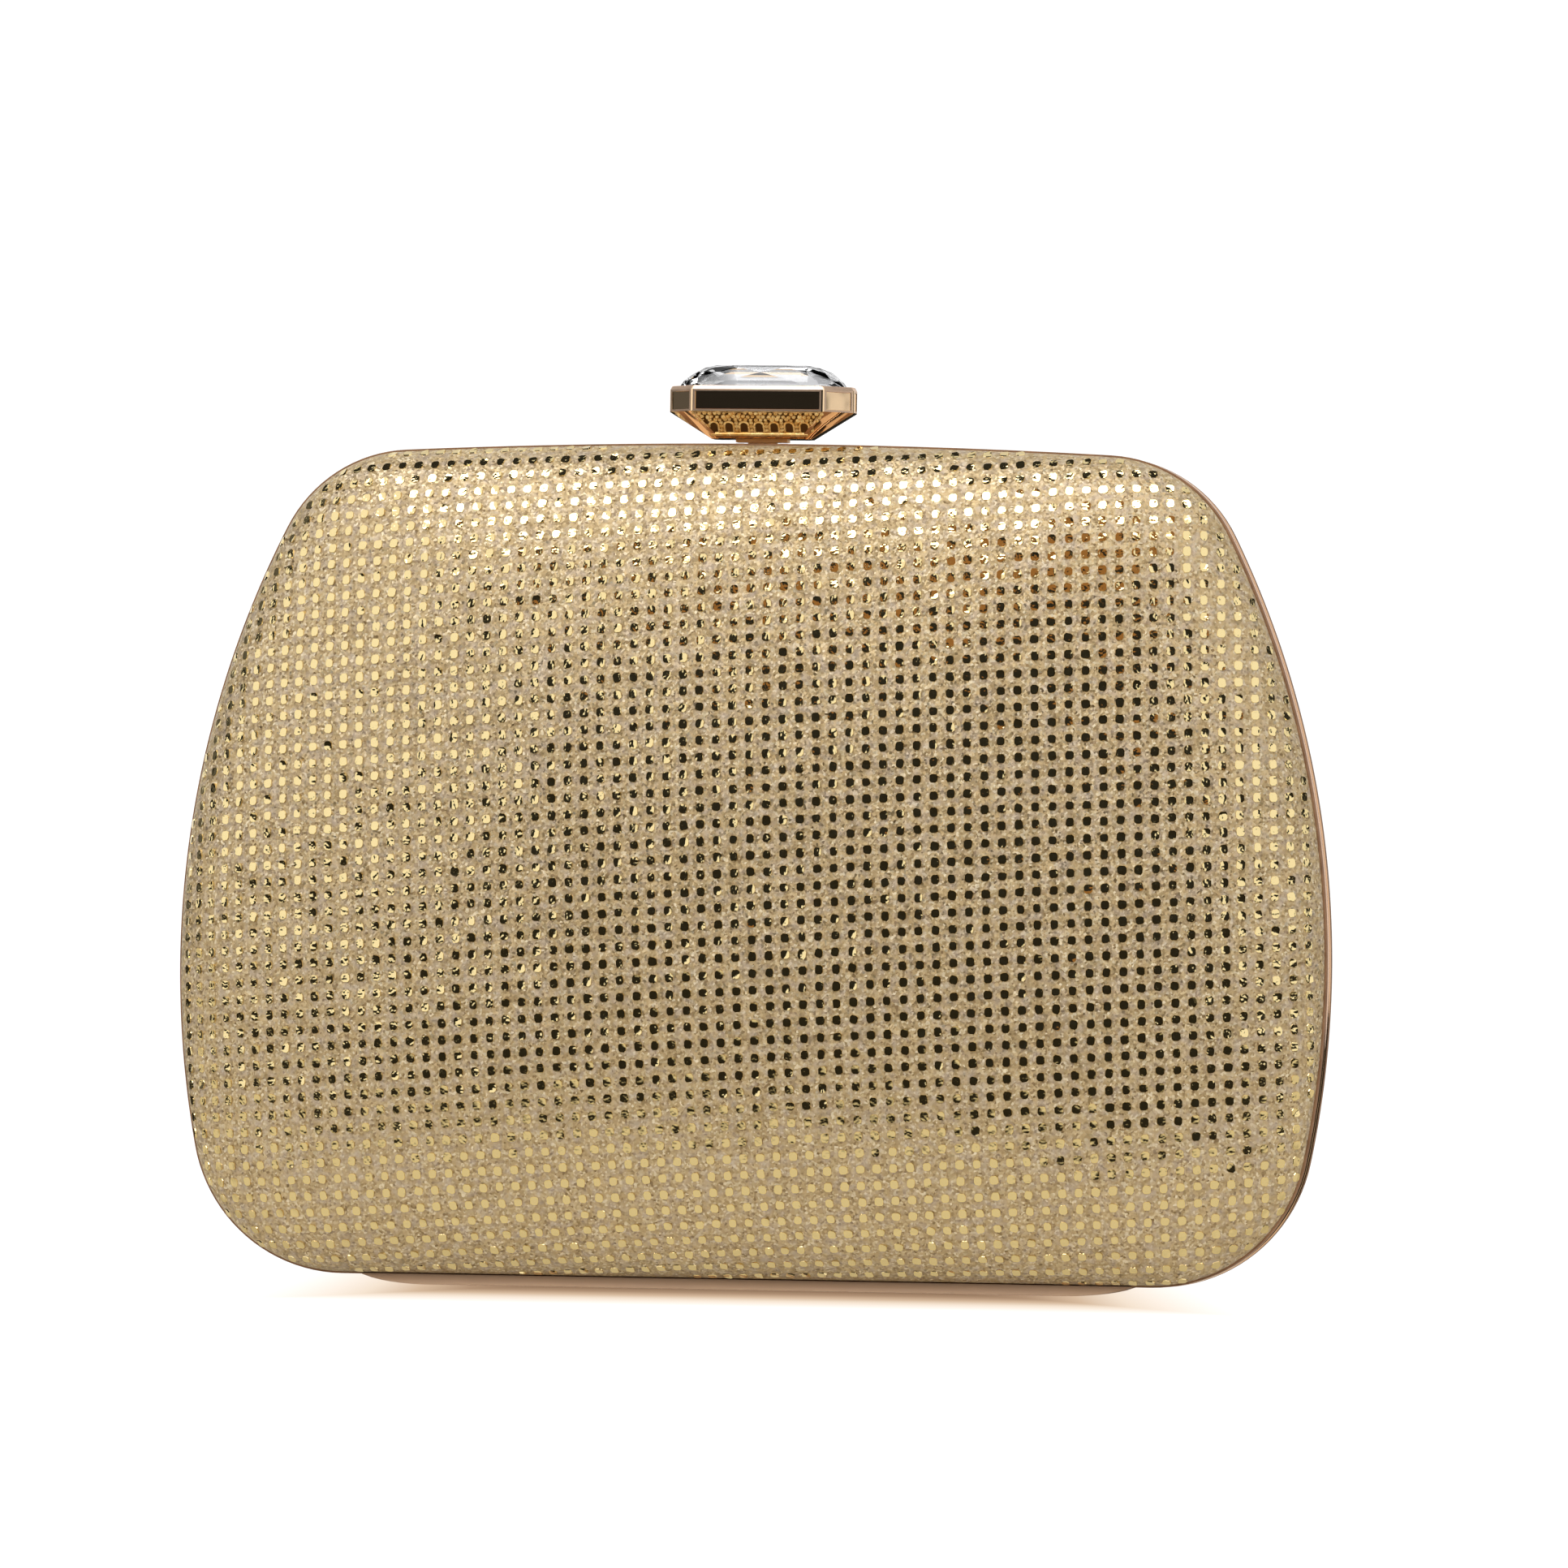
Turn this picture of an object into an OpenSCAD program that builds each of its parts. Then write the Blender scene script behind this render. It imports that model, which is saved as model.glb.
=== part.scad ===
// Hard-shell evening bag: two fabric-covered domed shells in a two-part metal
// frame, hinged along the bottom and closed on top by a crystal knob on a
// sprung rocking lever.
// Millimetres. +X is to the bag's left-to-right width, -Y is the front, +Z is up.
// The origin is the middle of the base, on the surface that the bag stands on.

/* [Outline] */
// Height of the covered shells' lower edge above the base
shell_lift = 1.9; // [1.6:0.1:2.4]
// Half the length of the straight bottom edge
bottom_half = 67.2; // [60:0.1:72]
// Radius of the bottom corners
corner_r = 25.2; // [20:0.1:30]
// Angle below the horizontal at which the side arc starts
side_start = 11.25; // [8:0.25:14]
// Radius of the bowed sides
side_r = 158.3; // [140:0.1:180]
// Angle above the horizontal at which the side arc ends
side_end = 26.7; // [24:0.1:29]
// Radius of the shoulders
shoulder_r = 23; // [19:0.1:26]
// Radius of the nearly flat top
top_r = 1200; // [800:10:2000]
// Height of the point that the domed faces shrink towards
dome_z = 64; // [55:1:70]
// Half-width and half-height of the oval that the domed faces tend to
dome_oval = [92, 68]; // [50:1:95]

/* [Shells] */
// Height of each domed face above its rim
dome_h = 19.8; // [16:0.1:22]
// How square the dome's section is, along its width
dome_power = 2.5; // [2:0.1:3]
// How square the dome's section is, along its height
dome_edge = 0.55; // [0.5:0.01:0.65]
// Thickness of the glitter fabric and its glue
cover_t = 0.7; // [0.5:0.05:1]
// Thickness of the moulded shells
shell_t = 1.6; // [1.2:0.1:2]
// Thickness of the satin-covered lining boards
lining_t = 0.8; // [0.6:0.1:1.2]

/* [Frame] */
// Depth of each half of the frame, front to back
frame_d = 3.6; // [3.2:0.1:4.4]
// How far the frame stands out past the covers' outline
frame_proud = 0.3; // [0:0.1:0.6]
// Half the length of the foot rails under the frame
foot_half = 60; // [50:1:64]
// Gap between the two halves at the seam
seam_gap = 0.2; // [0.1:0.05:0.4]
// Height above the base at which the inner lip ends
lip_end_z = 25; // [18:1:40]

/* [Hinge] */
// Half the length of the hinge
hinge_half = 41; // [30:1:50]
// Number of knuckles, shared between the two leaves
knuckles = 8; // [4:2:12]
// Radius of the knuckles
knuckle_r = 1.1; // [1:0.05:1.15]
// Radius of the hinge pin
hinge_pin_r = 0.5; // [0.4:0.05:0.6]
// Height of the hinge axis above the base
hinge_z = 1.2; // [1.15:0.05:1.3]

/* [Clasp] */
// Distance of the knob's centre behind the seam
clasp_y = 1.5; // [1.4:0.1:1.6]
// Height of the rocking pivot
pivot_z = 133.2; // [132.8:0.1:133.6]
// Radius of the pivot pin
pivot_pin_r = 0.6; // [0.5:0.05:0.7]
// Width of the crystal's metal setting
bezel_w = 30.7; // [26:0.1:36]
// Depth of the setting, front to back
bezel_d = 12; // [11:0.1:16]
// Height of the setting's tapered underside
bezel_taper_h = 4.3; // [3:0.1:5]
// Height of the setting's upright wall
bezel_wall_h = 4.3; // [3:0.1:5]
// Height of the crystal above the setting
crown_h = 3.5; // [2:0.1:5]

/* [Hidden] */
$fn = 48;

gold = "#d9a860";
gold_cloth = "#ae9c7b";
satin = "#c9b48c";
glue_gap = 0.05;
running_gap = 0.05;
nudge = 1;
reach = 100;

// Centres of the outline's arcs, each tangent to the next
corner_c = [bottom_half, shell_lift + corner_r];
side_c = corner_c + (corner_r - side_r) * [cos(side_start), -sin(side_start)];
shoulder_c = side_c + (side_r - shoulder_r) * [cos(side_end), sin(side_end)];
top_c = [0, shoulder_c[1] - sqrt(pow(top_r - shoulder_r, 2) - pow(shoulder_c[0], 2))];
top_start = atan2(shoulder_c[1] - top_c[1], shoulder_c[0]);
body_top = top_c[1] + top_r;

// Frame section: its web is a thin band. The lip lines the rear one, and
// stands clear of the front one.
web_t = 1.9;
seam_y = seam_gap / 2;
rim_y = frame_d + glue_gap;
web_inner = web_t - frame_proud;
lip_t = 0.8;
lip_clear = 0.2;
lip_reach = 2;
lip_back = 2.4;
skirt_y = 2.5;
foot_y = 1.25;
foot_top = shell_lift + web_inner;
web_top = body_top + frame_proud;
web_under = body_top - web_inner;

// Rivets stand a little clear of their holes, and the clasp's flanges clear
// of the web's bow
rivet_play = 0.02;
web_bow = 0.08;
flange_top = web_under - web_bow;

// Insets of the nested layers from the outline
shell_inset = cover_t + 2 * glue_gap;
shell_inner = shell_inset + shell_t;
skirt_inset = web_inner + 2 * glue_gap;
lining_gap = 0.3;
lining_inset = shell_inner + lining_gap;
lining_inner = lining_inset + lining_t;
lining_rim_y = 0.5;

// Clasp levels and widths
mech_half = 9.5;
mech_low = 129.5;
mech_depth = 7;
flange_t = 0.8;
flange_y = [0.4, 2.4];
ear_x = [4.3, 5.1];
keeper_x = [3.2, 4.0];
flange_end = 8.6;
rivet_x = 6.8;
rivet_y = 1.4;
rivet_r = 0.6;
plate_half = 4.4;
plate_t = 0.5;
plate_sunk = 0.4;
stem_half = 2.4;
stem_t = 1.2;
slot_half = 2.8;
stem_slot = [0.65, 3.2];
foot_plate = [8.6, 2.6, 0.5];
plate_low = web_top - plate_sunk;
bezel_z = web_top + 0.9;
girdle_z = bezel_z + bezel_taper_h;
rim_z = girdle_z + bezel_wall_h;
bezel_cut = 4.4;
bezel_wall = 0.9;
bezel_floor = 1;
bottom_w = 16.8;
bottom_d = 5.6;
bottom_cut = 1;
hook_low = pivot_z - 0.85;

// Points along an arc, from angle a0 to a1, without its first point
function arc(c, r, a0, a1, n) =
    [for (i = [1:n]) c + r * [cos(a0 + (a1 - a0) * i / n), sin(a0 + (a1 - a0) * i / n)]];

// Right half of the outline, moved inwards, from the bottom to the top middle
function half_outline(inset) = concat(
    [[bottom_half, shell_lift + inset]],
    arc(corner_c, corner_r - inset, -90, -side_start, 7),
    arc(side_c, side_r - inset, -side_start, side_end, 7),
    arc(shoulder_c, shoulder_r - inset, side_end, top_start, 7),
    arc(top_c, top_r - inset, top_start, 90, 4));

// Whole outline: the right half, then its mirror image back down
function outline(inset) = let (r = half_outline(inset), n = len(r))
    concat(r, [for (i = [n - 2:-1:0]) [-r[i][0], r[i][1]]]);

// Height of the dome where the outline has shrunk to a share s of its size
function dome(s) = pow(1 - pow(s, dome_power), dome_edge);

dome_steps = 8;
dome_cap = 0.15;
function share(k) = 1 - (1 - dome_cap) * pow(k / dome_steps, 2);

// Point of the oval on the same ray from the dome's centre as v
function on_oval(v, inset) =
    v / norm([v[0] / (dome_oval[0] - inset), v[1] / (dome_oval[1] - inset)]);

// The outline shrunk to a share s and turned as much towards the oval, as a
// ring of points at depth y
function ring(inset, s, y) = [for (p = outline(inset)) let (
    v = p - [0, dome_z],
    q = s * (s * v + (1 - s) * on_oval(v, inset)))
    [q[0], y, dome_z + q[1]]];

// Rings of a domed surface, from its rim to its cap
function dome_rings(inset, h) =
    [for (k = [0:dome_steps]) ring(inset, share(k), rim_y + h * dome(share(k)))];

function reversed(list) = [for (i = [len(list) - 1:-1:0]) list[i]];

// Solid through a list of equal rings, with a flat cap at each end
module loft(rings) {
    n = len(rings[0]);
    m = len(rings);
    sides = [for (k = [0:m - 2], i = [0:n - 1])
        [k * n + i, k * n + (i + 1) % n, (k + 1) * n + (i + 1) % n, (k + 1) * n + i]];
    caps = [[for (i = [n - 1:-1:0]) i], [for (i = [0:n - 1]) (m - 1) * n + i]];
    polyhedron([for (r = rings) each r], concat(sides, caps), convexity = 6);
}

// Domed tray between an outer and an inner surface. collar lists the rings
// that join them round the rim, from the outer to the inner.
module tray(outer, outer_h, inner, inner_h, collar) {
    loft(concat(reversed(dome_rings(outer, outer_h)), collar, dome_rings(inner, inner_h)));
}

module band(outer, inner, y0, y1) {
    translate([0, y1, 0])
        rotate([90, 0, 0])
            linear_extrude(y1 - y0)
                difference() {
                    polygon(outline(outer));
                    polygon(outline(inner));
                }
}

// Box between two corners
module span(lo, hi) {
    translate(lo) cube(hi - lo);
}

module x_rod(r, x0, x1, y, z) {
    translate([x0, y, z]) rotate([0, 90, 0]) cylinder(r = r, h = x1 - x0);
}

module z_rod(r, z0, z1, x, y) {
    translate([x, y, z0]) cylinder(r = r, h = z1 - z0);
}

module front() {
    mirror([0, 1, 0]) children();
}

module both_sides() {
    children();
    mirror([1, 0, 0]) children();
}

// ---- shells, covers and linings ----

module shell() {
    color("#e6dcc4")
        tray(shell_inset, dome_h - shell_inset, shell_inner, dome_h - shell_inner, [
            ring(skirt_inset, 1, rim_y),
            ring(skirt_inset, 1, skirt_y),
            ring(shell_inner, 1, skirt_y)]);
}

module cover() {
    inside = cover_t + glue_gap;
    color(gold_cloth)
        tray(0, dome_h, inside, dome_h - inside, []);
}

// The board stops short of the clasp's mechanism at the middle of the top
module lining() {
    color(satin)
        difference() {
            tray(lining_inset, dome_h - lining_inset, lining_inner, dome_h - lining_inner, [
                ring(lining_inset, 1, lining_rim_y),
                ring(lining_inner, 1, lining_rim_y)]);
            span([-mech_half, -nudge, mech_low], [mech_half, mech_depth, body_top]);
        }
}

// Satin panel across the rear lining, cut to the lining's own curve
module slip_pocket() {
    panel_y = 12;
    panel_t = 0.7;
    panel_top = 84;
    slack = 0.1;
    color("#bfa77c")
        intersection() {
            loft(dome_rings(lining_inner + slack, dome_h - lining_inner - slack));
            span([-reach, panel_y, 0], [reach, panel_y + panel_t, panel_top]);
        }
}

// ---- frame ----

// Half frame: a band round the outline, a foot rail, and room for the hinge
module half_frame() {
    hinge_room = hinge_half + 1;
    difference() {
        union() {
            band(-frame_proud, web_inner, seam_y, frame_d);
            span([-foot_half, foot_y, 0], [foot_half, frame_d, foot_top]);
        }
        span([-hinge_room, -nudge, -nudge], [hinge_room, foot_y, foot_top + nudge]);
        hinge_rivet_places() z_rod(hinge_rivet_r, foot_top - hinge_rivet_len, foot_top + nudge, 0, 0);
        clasp_rivet_places() z_rod(rivet_r, web_under - nudge, web_top + nudge, 0, 0);
    }
}

// Opening that the knob's stem rocks in
module stem_opening() {
    span([-slot_half, stem_slot[0], web_under - nudge], [slot_half, stem_slot[1], web_top + nudge]);
}

module rear_frame() {
    color(gold)
        difference() {
            half_frame();
            stem_opening();
            span([-plate_half - running_gap, -nudge, plate_low - running_gap],
                [plate_half + running_gap, frame_d + nudge, web_top + nudge]);
        }
}

module front_frame() {
    color(gold) front() half_frame();
}

// Inner lip brazed into the rear frame, over which the front frame closes
module frame_lip() {
    color("#c79650")
        difference() {
            union() {
                band(web_inner, web_inner + lip_t, seam_y, lip_back);
                band(web_inner + lip_clear, web_inner + lip_t, -lip_reach, seam_y);
            }
            span([-reach, -reach, -nudge], [reach, reach, lip_end_z]);
            span([-mech_half, -reach, mech_low], [mech_half, reach, body_top]);
        }
}

// ---- hinge ----

leaf_t = 0.6;
leaf_y = [0.15, 2.4];
strip_y = 1.3;
root_y = 2;
knuckle_gap = 0.2;
hinge_rivet_r = 0.35;
hinge_rivet_y = 1.85;
hinge_rivet_len = 2.4;

module hinge_rivet_places() {
    for (x = [-36, -12, 12, 36]) translate([x, hinge_rivet_y, 0]) children();
}

// Leaf for the knuckles that start at the number first, every second one
module hinge_leaf(first) {
    pitch = 2 * hinge_half / knuckles;
    difference() {
        union() {
            span([-hinge_half, strip_y, foot_top], [hinge_half, leaf_y[1], foot_top + leaf_t]);
            for (k = [first:2:knuckles - 1]) {
                x0 = -hinge_half + k * pitch + knuckle_gap / 2;
                x1 = x0 + pitch - knuckle_gap;
                x_rod(knuckle_r, x0, x1, 0, hinge_z);
                span([x0, leaf_y[0], hinge_z], [x1, knuckle_r, foot_top + leaf_t]);
                span([x0, leaf_y[0], foot_top], [x1, root_y, foot_top + leaf_t]);
            }
        }
        x_rod(hinge_pin_r + running_gap, -hinge_half - nudge, hinge_half + nudge, 0, hinge_z);
        hinge_rivet_places() z_rod(hinge_rivet_r, foot_top - nudge, foot_top + 2 * nudge, 0, 0);
    }
}

module hinge_rivets() {
    head_r = 0.55;
    head_t = 0.3;
    shank_low = foot_top - hinge_rivet_len + 2 * running_gap;
    hinge_rivet_places() {
        z_rod(hinge_rivet_r - rivet_play, shank_low, foot_top + leaf_t, 0, 0);
        z_rod(head_r, foot_top + leaf_t, foot_top + leaf_t + head_t, 0, 0);
    }
}

module rear_hinge_leaf() {
    color("#c08f4a") hinge_leaf(0);
}

module front_hinge_leaf() {
    color("#cfa05c") front() hinge_leaf(1);
}

module rear_hinge_rivets() {
    color("#8d6a3a") hinge_rivets();
}

module front_hinge_rivets() {
    color("#8d6a3a") front() hinge_rivets();
}

module hinge_pin() {
    head = 0.5;
    head_r = 0.85;
    x_end = hinge_half + 0.1;
    color("#a8a8ac") {
        x_rod(hinge_pin_r, -x_end - head, x_end + head, 0, hinge_z);
        both_sides() x_rod(head_r, x_end, x_end + head, 0, hinge_z);
    }
}

// ---- clasp ----

module clasp_rivet_places() {
    both_sides() translate([rivet_x, rivet_y, 0]) children();
}

// Slotted plate let into the top of the rear frame, round the knob's stem
module clasp_plate() {
    color(gold)
        difference() {
            span([-plate_half, 2 * seam_y, plate_low], [plate_half, frame_d, plate_low + plate_t]);
            stem_opening();
        }
}

// Flange under the web, from x0 outwards, and the hole for its rivet
module flange(x0) {
    span([x0, flange_y[0], flange_top - flange_t], [flange_end, flange_y[1], flange_top]);
}

module flange_hole() {
    z_rod(rivet_r, flange_top - flange_t - nudge, flange_top + nudge, rivet_x, rivet_y);
}

// Bracket under the rear frame: two ears for the pivot pin, each with a flange
module clasp_bracket() {
    pin_margin = 1.4;
    ear_low = pivot_z - pin_margin;
    color("#b0b2b6")
        both_sides() difference() {
            union() {
                span([ear_x[0], flange_y[0], ear_low], [ear_x[1], flange_y[1], flange_top]);
                flange(ear_x[0]);
            }
            x_rod(pivot_pin_r + rivet_play, 0, flange_end, clasp_y, pivot_z);
            flange_hole();
        }
}

module web_rivets() {
    head_r = 1.1;
    head_t = 0.4;
    clasp_rivet_places() {
        z_rod(rivet_r - rivet_play, flange_top - flange_t, web_top - web_bow, 0, 0);
        z_rod(head_r, flange_top - flange_t - head_t, flange_top - flange_t, 0, 0);
    }
}

module bracket_rivets() {
    color("#8d6a3a") web_rivets();
}

module catch_rivets() {
    color("#8d6a3a") front() web_rivets();
}

// Keeper under the front frame: two legs, and the bar that the hook goes over
module catch_keeper() {
    leg_y = [0.8, 2.4];
    leg_low = 130.6;
    bar_y = [1.7, 2.2];
    hook_clear = 0.15;
    bar_z = [131, hook_low - hook_clear];
    bar_end = (keeper_x[0] + keeper_x[1]) / 2;
    color("#b0b2b6")
        front() difference() {
            union() {
                both_sides() {
                    span([keeper_x[0], leg_y[0], leg_low], [keeper_x[1], leg_y[1], flange_top]);
                    flange(keeper_x[0]);
                }
                span([-bar_end, bar_y[0], bar_z[0]], [bar_end, bar_y[1], bar_z[1]]);
            }
            both_sides() flange_hole();
        }
}

module clasp_pivot_pin() {
    head_r = 1;
    head = 0.4;
    end_x = ear_x[1] + rivet_play;
    color("#a8a8ac") {
        x_rod(pivot_pin_r, -end_x - head, end_x + head, clasp_y, pivot_z);
        both_sides() x_rod(head_r, end_x, end_x + head, clasp_y, pivot_z);
    }
}

// Torsion spring round the pivot pin: one leg under the frame, one on the lever
spring_wire = 0.18;
spring_coil_r = 0.95;
spring_turns = 3;
spring_x = [2.75, 4.05];
spring_leg_y = -2.4;
spring_tail = [1.2, 2.2];
spring_sides = 8;
spring_steps = 16;

function spring_point(t) = let (a = 90 + 360 * spring_turns * t)
    [spring_x[0] + (spring_x[1] - spring_x[0]) * t,
     clasp_y + spring_coil_r * cos(a), pivot_z + spring_coil_r * sin(a)];

spring_path = concat(
    [[spring_x[0], clasp_y + spring_leg_y, pivot_z + spring_coil_r]],
    [for (k = [0:spring_turns * spring_steps]) spring_point(k / (spring_turns * spring_steps))],
    [[spring_x[1], clasp_y + spring_tail[0], pivot_z + spring_tail[1]]]);

function unit(v) = v / norm(v);

// Ring of points round a path's point k, square to the path there
function wire_ring(path, k, r, sides) = let (
    along = unit(path[min(k + 1, len(path) - 1)] - path[max(k - 1, 0)]),
    across = unit(cross(along, [1, 0, 0])),
    up = cross(along, across))
    [for (i = [0:sides - 1]) path[k] + r * (cos(360 * i / sides) * across
        + sin(360 * i / sides) * up)];

module clasp_spring() {
    color("#9a9ca0")
        loft([for (k = [0:len(spring_path) - 1])
            reversed(wire_ring(spring_path, k, spring_wire, spring_sides))]);
}

// Rocking lever: barrel, stem with its foot plate, and the hook arm
module clasp_lever() {
    barrel_r = 1.55;
    barrel_x = -4;
    arm_end = -3.3;
    arm_half_t = 0.5;
    nose_back = -2.6;
    stem_y = [clasp_y - stem_t / 2, clasp_y + stem_t / 2];
    plate_z = bezel_z - foot_plate[2];
    color("#d0a055")
        difference() {
            union() {
                x_rod(barrel_r, barrel_x, stem_half, clasp_y, pivot_z);
                span([-stem_half, stem_y[0], pivot_z], [stem_half, stem_y[1], bezel_z]);
                span([-foot_plate[0] / 2, clasp_y - foot_plate[1] / 2, plate_z],
                    [foot_plate[0] / 2, clasp_y + foot_plate[1] / 2, bezel_z]);
                span([-stem_half, arm_end, pivot_z - arm_half_t],
                    [stem_half, clasp_y, pivot_z + arm_half_t]);
                span([-stem_half, arm_end, hook_low], [stem_half, nose_back, pivot_z + arm_half_t]);
            }
            x_rod(pivot_pin_r + running_gap, barrel_x - nudge, stem_half + nudge, clasp_y, pivot_z);
            knob_screw_places() z_rod(screw_r, plate_z - nudge, bezel_z + nudge, 0, 0);
        }
}

screw_x = 3.4;
screw_r = 0.5;
screw_rise = 0.8;

module knob_screw_places() {
    both_sides() translate([screw_x, clasp_y, 0]) children();
}

module knob_screws() {
    color("#a8a8ac")
        knob_screw_places()
            z_rod(screw_r - rivet_play, bezel_z - foot_plate[2], bezel_z + screw_rise, 0, 0);
}

// Eight-sided plan: a rectangle with its corners cut off
module octagon(w, d, cut) {
    x = w / 2;
    y = d / 2;
    polygon([[-x, cut - y], [cut - x, -y], [x - cut, -y], [x, cut - y],
        [x, y - cut], [x - cut, y], [cut - x, y], [-x, y - cut]]);
}

slice = 0.01;
cup_cut = bezel_cut - 0.5;
seat_lift = 0.4;

module octagon_slice(w, d, cut, z) {
    translate([0, clasp_y, z]) linear_extrude(slice) octagon(w, d, cut);
}

// Setting: tapered below, upright above, hollow for the crystal
module bezel() {
    cup = 2 * bezel_wall;
    floor_z = bezel_z + bezel_floor;
    step_z = girdle_z + seat_lift;
    color(gold)
        difference() {
            union() {
                hull() {
                    octagon_slice(bottom_w, bottom_d, bottom_cut, bezel_z);
                    octagon_slice(bezel_w, bezel_d, bezel_cut, girdle_z);
                }
                translate([0, clasp_y, girdle_z])
                    linear_extrude(bezel_wall_h) octagon(bezel_w, bezel_d, bezel_cut);
            }
            hull() {
                octagon_slice(bottom_w - cup, bottom_d - cup, bottom_cut, floor_z);
                octagon_slice(bezel_w - cup, bezel_d - cup, cup_cut, step_z);
            }
            translate([0, clasp_y, step_z])
                linear_extrude(bezel_wall_h) octagon(bezel_w - cup, bezel_d - cup, cup_cut);
            knob_screw_places()
                z_rod(screw_r, bezel_z - nudge, bezel_z + screw_rise + 2 * running_gap, 0, 0);
        }
}

// Pierced panel on the front and on the back of the tapered underside
module bezel_filigree() {
    rise = bezel_taper_h;
    run = (bezel_d - bottom_d) / 2;
    slope = sqrt(rise * rise + run * run);
    tilt = atan2(rise, run);
    low_half = 7.2;
    high_half = 10.1;
    margin = [0.9, slope - 0.5];
    panel_t = 0.35;
    cells = 7;
    cell_pitch = 2.1;
    cell_rise = 2.4;
    cell_r = 0.65;
    color("#e0b060")
        for (turn = [0, 180])
            translate([0, clasp_y, bezel_z]) rotate([0, 0, turn])
                translate([0, -bottom_d / 2, 0]) rotate([180 - tilt, 0, 0])
                    translate([0, 0, glue_gap / 2]) linear_extrude(panel_t) difference() {
                        polygon([[-low_half, margin[0]], [low_half, margin[0]],
                            [high_half, margin[1]], [-high_half, margin[1]]]);
                        for (k = [0:cells - 1])
                            translate([(k - (cells - 1) / 2) * cell_pitch, cell_rise])
                                circle(r = cell_r);
                    }
}

// Cushion of clear crystal with a two-step crown and a blunt point below
module crystal() {
    seat_gap = 0.1;
    w = bezel_w - 2 * bezel_wall - 2 * seat_gap;
    d = bezel_d - 2 * bezel_wall - 2 * seat_gap;
    belt_z = rim_z - 1.2;
    belt_half = 0.5;
    tip_less = [17, 6.5];
    tip_cut = 0.8;
    tip_z = bezel_z + bezel_floor + 2.2;
    step_less = [6, 2.8];
    step_cut = 2.6;
    step_rise = 0.62;
    table_less = [12.5, 6.2];
    table_cut = 1.2;
    color("#dfe8ee", 0.6)
        hull() {
            octagon_slice(w - tip_less[0], d - tip_less[1], tip_cut, tip_z);
            octagon_slice(w, d, cup_cut, belt_z - belt_half);
            octagon_slice(w, d, cup_cut, belt_z + belt_half);
            octagon_slice(w - step_less[0], d - step_less[1], step_cut,
                rim_z + step_rise * crown_h);
            octagon_slice(w - table_less[0], d - table_less[1], table_cut,
                rim_z + crown_h - slice);
        }
}

// ---- nodes ----

module rear_shell() { shell(); }
module front_shell() { front() shell(); }
module rear_cover() { cover(); }
module front_cover() { front() cover(); }
module rear_lining() { lining(); }
module front_lining() { front() lining(); }

rear_shell();
rear_cover();
rear_frame();
frame_lip();
rear_lining();
slip_pocket();
rear_hinge_leaf();
rear_hinge_rivets();
hinge_pin();
clasp_plate();
clasp_bracket();
bracket_rivets();
clasp_pivot_pin();
clasp_spring();
clasp_lever();
knob_screws();
bezel();
bezel_filigree();
crystal();
front_shell();
front_cover();
front_frame();
front_lining();
front_hinge_leaf();
front_hinge_rivets();
catch_keeper();
catch_rivets();
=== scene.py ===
import math

import bmesh
import bpy
import numpy as np
from mathutils import Matrix, Vector


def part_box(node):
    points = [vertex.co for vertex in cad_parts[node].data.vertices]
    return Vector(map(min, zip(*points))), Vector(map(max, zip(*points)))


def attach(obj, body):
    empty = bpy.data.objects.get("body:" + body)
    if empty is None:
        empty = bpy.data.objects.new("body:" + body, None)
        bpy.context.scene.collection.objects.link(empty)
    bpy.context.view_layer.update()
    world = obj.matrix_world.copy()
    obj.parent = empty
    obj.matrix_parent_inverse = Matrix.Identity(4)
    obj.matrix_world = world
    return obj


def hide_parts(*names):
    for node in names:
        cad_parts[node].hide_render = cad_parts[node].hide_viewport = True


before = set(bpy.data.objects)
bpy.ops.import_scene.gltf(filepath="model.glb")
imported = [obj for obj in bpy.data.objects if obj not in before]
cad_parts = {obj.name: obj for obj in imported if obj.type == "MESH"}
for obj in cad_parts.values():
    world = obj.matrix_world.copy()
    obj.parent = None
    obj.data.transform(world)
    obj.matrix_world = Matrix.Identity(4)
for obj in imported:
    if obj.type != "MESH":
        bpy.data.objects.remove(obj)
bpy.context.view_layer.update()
MM = 0.001
rng = np.random.default_rng(7)

# ---------------------------------------------------------------------------
# The bag's driving sizes in millimetres, as in the CAD model
# ---------------------------------------------------------------------------
SHELL_LIFT = 1.9
BOTTOM_HALF = 67.2
CORNER_R = 25.2
SIDE_START, SIDE_END = math.radians(11.25), math.radians(26.7)
SIDE_R = 158.3
SHOULDER_R = 23.0
TOP_R = 1200.0
DOME_CENTRE = np.array([0.0, 64.0])
DOME_OVAL = np.array([92.0, 68.0])
DOME_H = 19.8
DOME_POWER, DOME_EDGE = 2.5, 0.55
COVER_T, SHELL_T, LINING_T = 0.7, 1.6, 0.8
GLUE_GAP, LINING_GAP = 0.05, 0.3
FRAME_D, FRAME_PROUD, WEB_T = 3.6, 0.3, 1.9
SEAM_Y, FOOT_Y, FOOT_HALF = 0.1, 1.25, 60.0
HINGE_ROOM = 42.0
PLATE_ROOM, STEM_ROOM, STEM_BACK = 5.2, 2.9, 3.2
RIM_Y = FRAME_D + GLUE_GAP
WEB_INNER = WEB_T - FRAME_PROUD
FOOT_TOP = SHELL_LIFT + WEB_INNER
SHELL_INSET = COVER_T + 2 * GLUE_GAP
SHELL_INNER = SHELL_INSET + SHELL_T
SKIRT_INSET, SKIRT_Y = WEB_INNER + 2 * GLUE_GAP, 2.5
LINING_INSET = SHELL_INNER + LINING_GAP
LINING_INNER = LINING_INSET + LINING_T
LINING_RIM_Y = 0.5
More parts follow.
